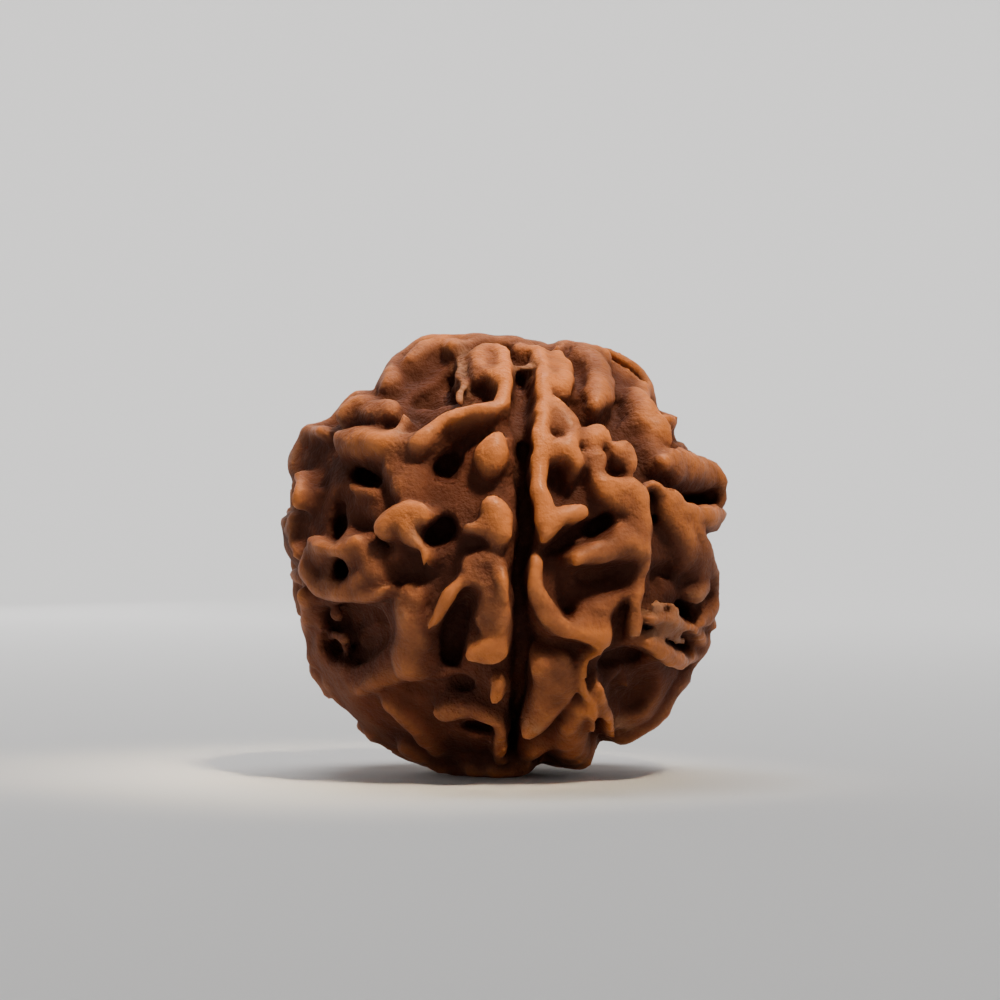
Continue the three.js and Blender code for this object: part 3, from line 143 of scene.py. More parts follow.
# Broad hollows, sunk before the ridges are raised: name, radius of the floor, how much the
# hollow widens for each millimetre above its floor, and the points
frontBowls = [
    ['crown bowl', 12, 0.3, [-5.5, 10.6, 0.7], [-4.7, 11.2, 1], [-3.9, 11.8, 0.8], [-3.5, 12.3, 0.5]],
    ['lip bowl', 13, 0.3, [-1.3, 11.2, 0.4], [-1.2, 10.7, 0.4]],
    ['cave', 11.3, 0.1, [-12.4, -4.4, 0.8], [-10.4, -4.2, 1], [-8.4, -4.1, 0.9], [-8, -5, 0.8], [-9.2, -6, 1],
     [-10.3, -6.8, 0.9], [-12, -6.3, 1]],
    ['dark band', 12.4, 0.2, [-6, -8.9, 0.5], [-4.2, -8.9, 0.6], [-2.3, -8.6, 0.6]],
    ['bowl', 12.3, 0.15, [7.6, -7.6, 1], [9.1, -7.8, 1.3], [9.9, -9, 1.3], [9, -10, 1.2], [7.9, -9.6, 1],
     [8.5, -8.8, 1.2]],
    ['bowl roof', 11.2, 0.1, [7.2, -6.9, 0.6], [8.5, -6.8, 0.6], [9.6, -6.9, 0.6]],
    ['nose shade', 12.3, 0.8, [5.2, -1.4, 0.4], [6.2, -1.3, 0.4], [7.4, -1.1, 0.3]],
    ['jaw slope', 12.2, 0.6, [-11.3, 2.2, 0.7], [-11, 3.2, 0.5]],
    ['nostril slope', 11.8, 0.25, [-1.6, 8.1, 0.4], [-2.4, 7.4, 0.55], [-3.2, 6.6, 0.7], [-3.5, 5.9, 0.8]],
    ['arch slope', 11.8, 0.1, [-2.3, -2.9, 0.35], [-2.8, -4, 0.5], [-3, -5, 0.6]],
    ['tongue shade', 12.6, 0.2, [4.7, 10.4, 0.35], [5, 9.6, 0.4], [5.8, 8.9, 0.3], [6.8, 8.9, 0.3]],
    ['shoulder shade', 12.7, 0.2, [7.9, 10.6, 0.25], [8, 9.7, 0.35], [7.6, 8.9, 0.4], [7.5, 8.3, 0.3]],
    ['sickle shade', 12.3, 0.15, [1.9, -5.2, 0.4], [3, -5.9, 0.35], [4.3, -6.2, 0.25]],
    ['claw shade', 12.7, 0.2, [-9.4, 2, 0.4], [-8.3, 1.5, 0.35], [-7.4, 0.9, 0.3]],
    ['hook bowl', 12.6, 0.15, [3.7, 5.4, 0.4], [4, 4.4, 0.6]],
    ['cave middle', 11.3, 0.1, [-12, -5.2, 1], [-10, -5.1, 1]],
    ['sickle inside', 12.7, 0.3, [3.9, -0.4, 0.4], [3.9, -1.8, 0.5], [4.4, -2.8, 0.35]],
    ['side dark', 12.4, 0.4, [10.4, -2, 0.3], [10.5, -1.2, 0.4], [11.4, -1.1, 0.3]],
    ['crown bowl low', 12, 0.3, [-4.4, 10.6, 0.6], [-2.7, 10.7, 0.5]],
]

# Ridges: name, drop below the crest radius and the points of the cord
frontRidges = [
    ['right lip', 0, [2.5, 13.6, 0.6], [2.8, 12, 0.65], [2.8, 10.5, 0.6], [2.6, 9, 0.6], [2.5, 7.4, 0.7],
     [2.4, 6, 0.8], [2.5, 4.5, 0.7], [2.7, 3, 0.75], [3, 2.1, 0.8], [3, 1.2, 0.6]],
    ['lip lobe', 0.1, [3.5, 13, 0.75], [3.9, 12, 1], [3.8, 10.9, 0.85]],
    ['upper branch', 0.2, [3.2, 10.2, 0.4], [4.1, 9.7, 0.45], [4.7, 9, 0.45], [4.9, 8.1, 0.4], [4.6, 7.5, 0.3]],
    ['hooked branch', 0.2, [2.9, 7.1, 0.45], [3.8, 7.1, 0.5], [4.7, 6.8, 0.5], [5.1, 6.2, 0.4], [5, 5.7, 0.35]],
    ['lower spur', 0.1, [3, 2.3, 0.65], [4, 2.65, 0.6], [5, 2.9, 0.6], [5.4, 3, 0.55]],
    ['tongue', 0.15, [5, 13.1, 0.6], [6, 12.4, 0.8], [6.5, 11.4, 0.95], [6.4, 10.5, 0.95], [6.3, 9.9, 0.75]],
    ['twin knob', 0.05, [5.9, 7.8, 0.85], [6.3, 7.9, 0.95]],
    ['round knob', 0.1, [6.2, 6.4, 0.75], [6.3, 5.7, 0.55], [6.6, 5, 0.5]],
    ['knob arch', 0.2, [7.5, 7.1, 0.4], [8.2, 7.1, 0.5], [8.6, 6.5, 0.4], [8.6, 5.6, 0.35]],
    ['long shoulder', -0.05, [5.2, 13.4, 0.55], [6.5, 13, 0.6], [7.6, 12.5, 0.7], [8.6, 11.8, 0.8],
     [9.3, 10.9, 0.8], [9.5, 9.8, 0.85], [9.8, 8.9, 0.85], [10.5, 8.1, 0.7], [11, 7.7, 0.5]],
    ['crown rim', 0, [3.8, 14, 0.3], [5, 14, 0.3], [6.3, 13.8, 0.3], [7.4, 13.3, 0.35], [8.6, 12.6, 0.4],
     [9.5, 11.8, 0.4], [10, 10.9, 0.4]],
    ['crown knob', 0.25, [0.7, 14.2, 0.75], [1.5, 13.5, 0.7]],
    ['shield rim', 0.05, [7, 4.9, 0.5], [8, 4.8, 0.6], [8.9, 4.3, 0.7], [9.4, 3.4, 0.65], [9.6, 2.4, 0.6],
     [9.7, 1.4, 0.55], [9.6, 0.4, 0.6]],
    ['nose', 0.05, [5, -0.2, 0.6], [6, 0.1, 0.75], [7, 0.4, 0.85], [8.2, 0.6, 0.95], [9.1, 0.3, 0.75]],
    ['cheek', 0.2, [9.4, -0.6, 0.55], [9.3, -1.6, 0.5], [9.1, -2.5, 0.45]],
    ['sickle', 0, [2.45, 0, 0.5], [2.25, -1, 0.55], [2.3, -2, 0.55], [2.6, -3, 0.6], [3.2, -4, 0.6],
     [4.1, -4.7, 0.6], [5, -5.1, 0.6], [6, -5.3, 0.65], [6.9, -5.4, 0.65]],
    ['small finger', 0.2, [8.9, -3.2, 0.45], [8.9, -4.1, 0.5], [8.8, -5, 0.4]],
    ['leaf lobe', 0.3, [2.8, -6.9, 0.8], [3.8, -7.1, 0.9], [4.1, -8.2, 1], [3.4, -9.5, 0.9], [2.5, -10.7, 0.75],
     [1.8, -11.6, 0.5]],
    ['bow', 0, [6.6, -6.3, 0.35], [5.8, -7, 0.3], [5.5, -7.9, 0.3], [5.5, -8.8, 0.3], [5.9, -9.7, 0.3],
     [6.2, -10.6, 0.3], [6.2, -11.8, 0.3]],
    ['string', 0.2, [6.4, -8.8, 0.3], [6.8, -9.8, 0.4], [7, -10.6, 0.45], [7.2, -11.4, 0.45],
     [7.3, -12.3, 0.4]],
    ['bowl rim', 0, [7.5, -12.6, 0.4], [8.4, -12.6, 0.4], [9.4, -12.1, 0.4], [10.3, -11.3, 0.4],
     [10.9, -10.5, 0.45]],
    ['lower ear', 0, [12.3, -7.8, 0.5], [12.2, -8.5, 0.6], [11.6, -9.4, 0.55], [10.9, -10.4, 0.45]],
    ['side bump', -0.1, [10.9, 9, 0.5], [11.3, 8.8, 0.5]],
    ['upper ear', -0.15, [10.7, 6.3, 0.6], [11.8, 6.5, 0.7], [12.9, 6.1, 0.7], [13.8, 5.4, 0.7],
     [14.3, 4.7, 0.6]],
    ['ear finger', 0, [12.6, 2.8, 0.6], [13.5, 2.5, 0.8], [14, 2.4, 0.75]],
    ['side wall', 0, [9.9, 4.7, 0.35], [10.7, 4.2, 0.5], [11.5, 3.7, 0.65], [12.2, 3, 0.7], [12.8, 2, 0.7],
     [13.2, 1.1, 0.7], [13.7, 0.2, 0.7], [13.9, -0.8, 0.7], [14.1, -1.8, 0.7], [14, -2.8, 0.7],
     [13.6, -3.8, 0.7], [13.1, -4.3, 0.6]],
    ['side loop', 0.05, [9.8, -4.1, 0.4], [11, -4.2, 0.5], [12.2, -4.6, 0.5], [13.1, -5.1, 0.55],
     [13.5, -5.8, 0.55], [13.2, -6.5, 0.55], [12.4, -6.9, 0.55], [11.5, -6.7, 0.6], [10.5, -6.2, 0.6],
     [9.7, -5.6, 0.5]],
    ['left crown', 0, [-7.6, 11.4, 0.7], [-7, 12.1, 1.05], [-6, 12.9, 1.2], [-4.9, 13.5, 1.2], [-3.8, 13.7, 1],
     [-3, 13.6, 0.7]],
    ['crown tag', 0.2, [-2.1, 13.9, 0.4], [-1.4, 14.2, 0.35]],
    ['left lip', 0, [-1, 13.7, 0.6], [-0.3, 13.7, 0.6], [0.15, 13.1, 0.6], [0.3, 12.2, 0.6], [0.3, 11.2, 0.55],
     [0.2, 10.4, 0.55], [-0.2, 9.8, 0.55], [-1.2, 9.6, 0.6], [-2.2, 9.5, 0.6], [-3.2, 9.2, 0.6],
     [-4.1, 8.7, 0.65], [-4.8, 8.1, 0.65], [-5.4, 7.4, 0.6]],
    ['brow fibre', 0.35, [-6.4, 9, 0.55], [-6.7, 8.6, 0.45], [-7, 8.2, 0.4]],
    ['brow', 0, [-10.5, 7.9, 0.6], [-9.6, 7.7, 0.9], [-8.4, 7.6, 1], [-7.4, 7.5, 0.8]],
    ['temple knob', 0, [-10.3, 9.2, 0.5], [-9.5, 9.8, 1], [-9, 10, 0.9]],
    ['pear knob', 0, [-0.1, 7.7, 0.55], [-0.4, 7, 1], [-0.6, 6.3, 1.25]],
    ['beak knob', 0, [-0.4, 3, 0.85], [-0.15, 2.2, 1], [-0.05, 1.5, 0.85]],
    ['beak', 0.25, [-0.9, 2, 0.7], [-1.7, 1.9, 0.4], [-2.6, 1.85, 0.25]],
    ['claw body', 0.1, [-7.5, 1.8, 0.7], [-6.8, 2.5, 0.8], [-5.9, 3.1, 0.65], [-5.3, 3.1, 0.4]],
    ['claw thumb', 0.1, [-6.3, 1.9, 0.35], [-5.6, 2.4, 0.35], [-4.9, 2.6, 0.3]],
    ['claw finger', 0.15, [-6.2, 1.5, 0.4], [-5.5, 1.1, 0.45], [-5.1, 0.6, 0.45], [-4.95, 0, 0.42],
     [-5, -0.5, 0.36]],
    ['disc rim', 0.2, [-13, -0.6, 0.4], [-12.3, -1.9, 0.45], [-11, -2.6, 0.45], [-9.5, -2.8, 0.45],
     [-8.2, -2.6, 0.4], [-7.5, -2.2, 0.3]],
    ['disc brow', 0.25, [-12.5, 0.9, 0.4], [-11.4, 0.6, 0.3], [-10.2, 0.6, 0.3], [-9.4, 1, 0.4]],
    ['arch', 0.05, [-4.8, -4.6, 0.35], [-4.3, -4, 0.4], [-3.8, -3.1, 0.4], [-3.3, -2.2, 0.4],
     [-2.7, -1.6, 0.4]],
    ['arch leg', 0, [0, -1.4, 0.5], [0.35, -2.2, 0.55], [0.45, -3.1, 0.55], [0.3, -4.1, 0.55], [0.1, -5, 0.55]],
    ['arch foot', 0.05, [-2.2, -6.5, 0.4], [-1.3, -6.1, 0.5], [-0.3, -5.6, 0.5]],
    ['peg', 0.2, [-0.15, -8.4, 0.65], [-0.2, -9.2, 0.6]],
    ['apron', 0.65, [-3.8, -10.2, 0.8], [-2.5, -10, 0.8], [-1.2, -10.3, 0.7], [-0.2, -10.9, 0.6], [0, -12, 0.5],
     [0.1, -13.4, 0.5]],
    ['shin', 0.75, [-7.2, -9.6, 0.8], [-5.8, -10.6, 1], [-4.6, -11.8, 1], [-3.8, -13, 0.8]],
    ['heel', 0.7, [-10.6, -9.2, 0.8], [-9.2, -10.2, 1], [-8, -11.5, 0.9], [-6.8, -12.8, 0.7]],
    ['jaw knob', 0, [-12.4, 8, 0.5], [-11.6, 8.1, 0.5]],
    ['jaw', 0, [-12.9, 5.1, 0.75], [-13.1, 4.3, 0.5], [-13.4, 3.5, 0.4]],
    ['jaw rim', 0.45, [-13.6, 2.4, 0.5], [-13.7, 1.2, 0.5], [-13.5, 0, 0.45]],
    ['left wall', 0.45, [-13.1, -2.6, 0.5], [-13.2, -4, 0.5], [-13.1, -5.4, 0.5], [-12.5, -7, 0.5]],
]

# Thin fibres that cross a hollow without any wall below them. Same columns as the ridges
frontFibres = [
    ['seam bridge', 0.8, [0.3, 12.5, 0.35], [1.9, 12.4, 0.35]],
    ['crown fibre', 0.8, [-2.5, 13.8, 0.35], [-2.75, 13.2, 0.42], [-2.6, 12.6, 0.35], [-2.75, 11.9, 0.42],
     [-2.5, 11.2, 0.35], [-2.75, 10.6, 0.4], [-2.7, 10.1, 0.35]],
    ['bowl fibre', 1, [7.5, -11, 0.35], [8.5, -11.05, 0.35], [9.5, -10.9, 0.35]],
    ['cave post', 2, [-10.2, -5.3, 0.4], [-10.2, -7.6, 0.5]],
    ['cave bar', 1.9, [-13, -5.4, 0.4], [-11.5, -5.3, 0.4], [-10.2, -5.4, 0.4]],
    ['cave lump', 1.8, [-10.9, -3.8, 0.6]],
    ['loop fibre', 0.5, [10.2, -5, 0.3], [11.2, -5.3, 0.32], [12, -5.7, 0.3]],
    ['jaw fibre', 1.2, [-11.8, 4.4, 0.32], [-12.5, 3.7, 0.42], [-13.2, 3, 0.42]],
    ['lower lid', 1, [-10, 4.6, 0.35], [-9.2, 4.3, 0.4], [-8.3, 4.2, 0.4]],
    ['loop root high', 0.5, [9.8, -3.3, 0.3], [10.7, -3.2, 0.32], [11.6, -3.6, 0.3]],
    ['loop root low', 0.45, [9.9, -4.9, 0.3], [10.9, -4.7, 0.3], [11.8, -5.1, 0.3]],
    ['loop root cross', 0.45, [10.2, -3.2, 0.28], [10.6, -4.2, 0.32], [10.3, -5.4, 0.3]],
    ['loop root knot', 0.5, [11.2, -3.7, 0.28], [11.3, -4.6, 0.3]],
    ['crown fibre low', 1.4, [-2.3, 13.6, 0.5], [-2.4, 12.6, 0.6], [-2.3, 11.6, 0.65], [-2.4, 10.5, 0.6]],
]

# Pits and grooves: name, radius of the floor, widening for each millimetre and the points
frontPits = [
    ['seam', 11, 0.05, [1.45, 7, 0.45], [1.25, 5, 0.35], [1.55, 3, 0.5], [1.55, 1, 0.5], [1.05, -1, 0.35],
     [1.25, -3, 0.35], [1.4, -5, 0.6], [1.2, -7, 0.5], [1.15, -9, 0.45], [0.95, -11, 0.25], [0.9, -12, 0.2],
     [0.75, -13.5, 0.2]],
    ['right seam', 13.6, 0.05, [4.6, 13.7, 0.15], [6, 13.6, 0.15], [7.5, 13.1, 0.14], [8.6, 12.4, 0.12],
     [9.5, 11.5, 0.1]],
    ['side seam', 13.5, 0.05, [9.95, 4.1, 0.1], [10, 2.5, 0.15], [10.1, 0.4, 0.15], [10, -1.8, 0.15],
     [9.7, -3, 0.15]],
    ['left eye', 11, 0.05, [-9.9, 5.8, 0.4], [-9.1, 5.4, 0.5], [-8.3, 4.9, 0.4]],
    ['nostril', 10.8, 0.1, [-3.7, 5.7, 0.75], [-3.3, 6.2, 0.6]],
    ['claw pit', 10.8, 0.05, [-4.4, 1.4, 0.7], [-3.8, 1.7, 0.95]],
    ['arch pit', 10.8, 0.05, [-2.6, -3.5, 0.45], [-2.9, -4.4, 0.7], [-3.2, -5.4, 0.85], [-3.3, -6.5, 0.85]],
    ['disc pit', 11.6, 0.1, [-10.7, -0.85, 0.6]], ['apron pit', 11.6, 0.15, [-2.5, -8.3, 0.8]],
    ['toe pit', 11.6, 0.15, [-2, -11.8, 0.5], [-1.2, -11.8, 0.7]], ['jaw pit', 11, 0.1, [-11.1, 2, 0.85]],
    ['shield shade', 12.3, 0.1, [2.9, 0.4, 0.2], [3.8, 0.7, 0.35], [4.8, 1.2, 0.4], [5.6, 1.7, 0.4]],
    ['sickle hole', 12.6, 0.05, [4.4, -3.65, 0.25]], ['side pit', 12, 0.05, [10.3, 2.5, 0.25]],
    ['side hole', 11.8, 0.1, [12.1, -3.5, 0.45], [12.8, -3.9, 0.35]],
    ['ear slot', 11.2, 0.05, [11.9, 3.9, 0.25], [13, 3.9, 0.35], [14, 3.9, 0.35]],
    ['loop slot', 12, 0.05, [10.3, -4.7, 0.2], [11.4, -5.3, 0.3], [12.2, -5.8, 0.3], [12.6, -6.1, 0.2]],
    ['bowl pocket', 12, 0.1, [8.2, -11.5, 0.35]],
    ['string crack', 12.2, 0.05, [6.4, -10.6, 0.15], [6.55, -11.6, 0.15]],
    ['finger gap', 12.9, 0.2, [8.1, -3.3, 0.15], [7.9, -4.3, 0.25], [7.8, -5.3, 0.3]],
    ['shield pit', 11.3, 0.1, [5.7, 1.7, 0.4], [6.5, 2.1, 0.45], [6.9, 2.3, 0.35]],
    ['seam upper', 12.3, 0.05, [1.4, 12.7, 0.3], [1.35, 11, 0.5], [1.15, 9, 0.6], [1.45, 7, 0.5]],
]

# Outline of the front as the eye sees it, as [across, up], clockwise from the top
frontOutline = [
    [0, 14.4], [0.7, 14.6], [1.8, 14.0], [3.4, 13.9], [4, 14.35], [5.9, 14.1], [7.1, 13.8], [8.2, 12.9],
    [9.3, 12.1], [10.1, 10.8], [10.3, 9.6], [11.7, 9.3], [11.7, 8.5], [11.1, 7.9], [12.3, 7.2],
    [13.9, 6.1], [14.9, 5.1], [15.1, 3.8], [14.9, 2.4], [14.4, 1.6], [13.7, 1.45], [14, 0.4],
    [14.5, -0.9], [14.7, -2.6], [14.3, -3.9], [14.2, -4.8], [13.6, -5.0], [13.75, -5.8], [13.5, -6.5],
    [12.6, -7.4], [12.6, -8.5], [11.8, -9.5], [11, -10.5], [10.4, -11.3], [9.1, -12.1], [8, -12.6],
    [7.3, -12.2], [6.35, -11.8], [6.2, -12.8], [5.85, -13.8], [5.2, -14.1], [4.2, -14], [3.2, -13.6],
    [2.5, -13.4], [1.8, -14.3], [0.7, -14.7], [-1, -14.7], [-4, -14.3], [-8, -12.7], [-11, -10.2],
    [-13.2, -7], [-13.2, -5.5], [-13.6, -3.6], [-13.5, -2.2], [-14, -0.9], [-14.9, 0.6], [-15.1, 1.8],
    [-14.5, 3], [-14.4, 5], [-13.8, 7], [-12.9, 8.6], [-11.4, 9.2], [-10.6, 10.3], [-9.6, 10.9],
    [-8.4, 10.9], [-7.8, 12], [-7, 13.2], [-5.3, 14.2], [-4, 14.6], [-2.5, 14.5], [-1, 14.6],
]

# The lobes out of sight lie between these seams, as angles round the axis from the front.
# The first and the last are the side seams that the front shows, so they get lips only
hiddenSeams = [46, 80, 114, 148, 182, 216, 250, 284, 318]
frontLobes = [-24, -6, 24]  # middles of the lobes in front, for the ridges round the poles
frontHalf = 60  # those lobes lie within this angle of the front
frontReach = 84  # a cord of the hidden lobes is kept only beyond this angle

# Patches of pale worn fuzz, as [across, up, half width]
frontDry = [
    [-10.5, 9.1, 0.5], [-6.2, 9.3, 0.4], [-6.6, 8.3, 0.4], [-2.3, 11, 0.3], [-2.6, 13.4, 0.3],
    [10.4, -4.3, 0.6], [11.4, -4.6, 0.5], [13.2, -2.6, 0.4], [9.4, 12.2, 0.4], [-13.4, 6.4, 0.5],
    [-6.9, -3.6, 0.3], [2.1, -11.4, 0.4], [8.8, -5.5, 0.3], [9.6, 6.4, 0.3], [-5.3, 1.6, 0.3],
    [-2.6, 1.9, 0.25], [7.1, -7.9, 0.25],
]

# The fibres that are pale and dry all along
paleFibres = ["seam bridge", "crown fibre", "bowl fibre", "loop fibre", "loop root high",
              "loop root low", "loop root cross", "loop root knot"]

# Crests painted paler than the others, partly from rubbing and partly as painted highlight where the light
# falls on them, each as points [across, up, half width]
frontRubbedAndLit = [
    [[2.5, 13.2, 0.7], [2.9, 11, 0.8], [2.6, 8.5, 0.6], [2.5, 6, 0.6], [2.6, 4, 0.5]],
    [[3.8, 12.6, 0.8], [4.1, 11.4, 0.9]], [[3, 2.4, 0.5], [4.6, 2.8, 0.5]],
    [[-0.6, 13.4, 0.5], [0.2, 12.2, 0.4], [0.2, 10.8, 0.4]], [[-3.4, 9.3, 0.3]],
    [[-4.6, 14, 0.7], [-3.4, 13.9, 0.6]], [[-9.4, 7.6, 0.6], [-7.8, 7.6, 0.8]], [[-0.2, 7.2, 0.6]],
    [[-0.2, 2.6, 0.5]], [[7.4, 4, 0.6], [8.8, 3.6, 0.7]], [[6.2, 8, 0.5]], [[6.2, -5.1, 0.6]], [[4.7, 7, 0.3]],
    [[11.8, 6.4, 0.8], [13.2, 5.8, 0.6]], [[13.4, 2.8, 0.5]], [[13.2, -5.6, 0.5]], [[8.4, 12, 0.5]],
    [[5.6, -8, 0.3], [6, -10, 0.3]], [[-9.4, 10, 0.8]], [[-6.4, 2.6, 0.4]], [[-3.4, -2.6, 0.3]],
    [[-0.8, -5.8, 0.4]], [[11.3, 3.4, 0.7], [12.6, 2, 0.5]],
    [[6.5, 13, 0.5], [8.6, 12.2, 0.8], [9.5, 10.6, 0.8], [9.8, 9, 0.7], [10.6, 8, 0.5]],
]


def makeDraw(state):  # random numbers that come out the same each time
    def draw(low, high):
        nonlocal state
        state = (state * 16807) % 2147483647
        return low + (high - low) * (state / 2147483647)

    return draw


def fromAngles(around, upward, radius):
    a, u = math.radians(around), math.radians(upward)
    return np.array([math.cos(u) * math.sin(a), -math.cos(u) * math.cos(a), math.sin(u)]) * radius


def fromFront(across, up, radius):  # where the eye sees [across, up] on a ball, or else on its rim
    eye = sizes["eyeDistance"]
    lengthSquared = across * across + up * up + eye * eye
    nearest = eye * eye / lengthSquared
    inside = max(0.0, radius * radius - (eye * eye - nearest * eye * eye))
    step = nearest - math.sqrt(inside / lengthSquared)
    place = np.array([across * step, eye * (step - 1), up * step])
    return place * (radius / np.linalg.norm(place))


# A cord is a chain of balls: a raised cord has walls below it, a sunk one has walls above it
def makeCord(points, raised, spread):
    cord = dict(zip(("at", "half", "radius", "axis"), zip(*points)), raised=raised, spread=spread)
    cord["at"] = np.array(cord["at"])
    return cord


def leaned(place):  # the way a pit opens: straight out, leaning towards the eye by no more than pitLean
    out = place / np.linalg.norm(place)
    sight = np.array([0, -sizes["eyeDistance"], 0]) - place
    sight /= np.linalg.norm(sight)
    turn = math.acos(max(-1.0, min(1.0, float(out @ sight))))
    lean = min(turn, math.radians(sizes["pitLean"]))
    return out if turn < 0.01 else (math.sin(turn - lean) * out + math.sin(lean) * sight) / math.sin(turn)


def eased(points):  # two more points in every stretch of a path, on a smooth curve through all of them
    if len(points) < 3:
        return points
    row = [np.array(p, dtype=float) for p in points]
    row = [2 * row[0] - row[1]] + row + [2 * row[-1] - row[-2]]
    path = [row[1]]
    for a, b, c, d in zip(row, row[1:], row[2:], row[3:]):
        for t in (1 / 3, 2 / 3, 1):
            path.append(0.5 * (2 * b + (c - a) * t + (2 * a - 5 * b + 4 * c - d) * t * t
                               + (3 * b - a - 3 * c + d) * t * t * t))
    return path


def raisedCord(toPlace, drop, path, spread):
    points = []
    for first, second, half in eased(path):
        radius = sizes["crestRadius"] - drop - half
        points.append((toPlace(first, second, radius), half, radius, None))
    return makeCord(points, True, spread)


def raisedFromFront(row, spread):
    name, drop, *path = row
    return raisedCord(fromFront, drop, path, spread)


def sunkFromFront(name, floor, spread, *path):
    points = []
    for across, up, half in eased(path):
        mouth = fromFront(across, up, sizes["pitMouth"])
        axis = leaned(mouth)
        steep = float(axis @ mouth) / sizes["pitMouth"]
        place = mouth - axis * ((sizes["pitMouth"] - floor - half) / steep)
        points.append((place, half * sizes["pitSlim"], float(np.linalg.norm(place)), axis))
    return makeCord(points, False, spread)


def sunkFromAngles(floor, path, spread):
    points = []
    for around, upward, half in eased(path):
        radius = floor + half
        floorHalf = half * sizes["pitSlim"] * radius / sizes["crestRadius"]
        points.append((fromAngles(around, upward, radius), floorHalf, radius, None))
    return makeCord(points, False, spread)


# The lobes out of sight: lips along the seams, bodies, branches, knobs and pits between them,
# drawn from the top down. Angles are in degrees, up from the equator or round the axis
def growHidden(bodies, bowls, ridges, pits):
    lipTop, lipEnd, lipPast = 64, -60, 66  # where lips begin, their last start and how far they run
    lobeTop, lobeEnd = 60, -64  # where the branches on a lobe begin, and their last start
    seamTop, seamStep, seamHalf = 72, 8, 0.5  # degrees, degrees and millimetres
    rootShare = 0.62  # branches start this far out on a lobe
    draw = makeDraw(sizes["lobeSeed"])
    crest = sizes["crestRadius"]

    def keep(cord, into):  # only when its middle is out of sight
        middle = cord["at"].sum(axis=0)
        if -middle[1] / np.linalg.norm(middle) < math.cos(math.radians(frontReach)):
            into.append(cord)

    def addRidge(drop, path, spread=sizes["ridgeFlare"], into=ridges):
        keep(raisedCord(fromAngles, drop, path, spread), into)

    def addPit(floor, path, spread=sizes["pitTaper"], into=pits):
        keep(sunkFromAngles(floor, path, spread), into)

    def addLip(seam, side):
        upward = lipTop - draw(0, 6)
        while upward > lipEnd:
            run = min(draw(14, 40), upward + lipPast)
            half = draw(0.5, 0.75)
            steps = max(2, int(run / 7 + 0.5))
            path = []
            for i in range(steps + 1):
                lift = upward - run * i / steps
                atEnd = i == 0 or i == steps
                curl = draw(0.5, 1.6) if atEnd else draw(0, 0.5)
                offset = (seamHalf + half + curl) / crest / math.cos(math.radians(lift))
                path.append((seam + side * math.degrees(offset), lift, half * (0.9 if atEnd else 1)))
            addRidge(draw(0, 0.15), path)
            upward -= run + draw(3, 6)

    def addLobe(left, right):
        middle, width = (left + right) / 2, (right - left) / 2
        upward = lobeTop - draw(0, 8)
        while upward > lobeEnd:
            side = -1 if draw(0, 1) < 0.5 else 1
            kind, bend, half = draw(0, 1), draw(-7, 7), draw(0.45, 0.65)
            start = middle + side * width * rootShare
            if kind < 0.5:
                tip = middle - side * width * draw(0, 0.25)
                addRidge(draw(0, 0.3), [(start, upward, half), ((start + tip) / 2, upward + bend * 0.3, half),
                                        (tip, upward + bend, half * 1.25)])
                addRidge(draw(0.1, 0.5), [(middle - side * width * 0.5, upward - 4, draw(0.6, 0.9))])
            elif kind < 0.8:
                addRidge(draw(0.1, 0.4), [(start, upward, half), (middle, upward + bend, half * 1.1),
                                          (middle - side * width * rootShare, upward + bend * 0.4, half)])
            else:
                addRidge(draw(0, 0.3), [(middle - width * 0.3, upward - 3, half),
                                        (middle - width * 0.15, upward + 2.5, half),
                                        (middle + width * 0.2, upward + 2.5, half),
                                        (middle + width * 0.32, upward - 4, half)])
            low = upward - draw(6, 8)
            addRidge(draw(0.3, 0.7), [(start, low + 4, draw(0.7, 1.1)), (start, low, draw(0.7, 1.1))],
                     sizes["bodyFlare"], bodies)
            hole = middle - side * width * draw(-0.1, 0.4)
            addPit(draw(11.8, 12.6), [(hole, low + 1, draw(0.4, 0.8)), (hole, low - 2, draw(0.4, 0.7))],
                   0.25, bowls)
            addPit(draw(11, 12), [(hole, low - 0.5, draw(0.35, 0.6))])
            upward -= draw(12, 17)

    def addSeam(seam):
        levels = range(seamTop, -seamTop - 1, -seamStep)
        addPit(11.3, [(seam + draw(-1.2, 1.2), upward, draw(0.25, 0.45)) for upward in levels])

    for i, seam in enumerate(hiddenSeams):
        if 0 < i < len(hiddenSeams) - 1:
            addSeam(seam)
        addLip(seam, -1)
        addLip(seam, 1)
        if i > 0:
            addLobe(hiddenSeams[i - 1], seam)

    # Round each pole every lobe ends in one ridge that runs in towards the axis
    for middle in frontLobes + [(left + right) / 2 for left, right in zip(hiddenSeams, hiddenSeams[1:])]:
        outer = sizes["poleReachFront" if abs(middle) < frontHalf else "poleReach"]
        for end in (1, -1):
            ridges.append(raisedCord(fromAngles, draw(-0.1, 0), [
                (middle + draw(-5, 5), end * (90 - outer), 0.85),
                (middle + draw(-5, 5), end * (90 - sizes["poleGap"] - 6), 0.95),
                (middle, end * (90 - sizes["poleGap"] - 2), 0.8)], sizes["ridgeFlare"]))

    # A low collar round each pole, with a blind pit in it where the stalk sat
    for end in (1, -1):
        upward = end * (90 - sizes["collarAngle"])
        ring = [(around, upward, sizes["collarHalf"]) for around in range(0, 361, 30)]
        ridges.append(raisedCord(fromAngles, -0.1, ring, sizes["ridgeFlare"]))
        floor, half = sizes["stalkPit"]
        pits.append(sunkFromAngles(floor, [(0, end * 90, half)], sizes["pitTaper"]))


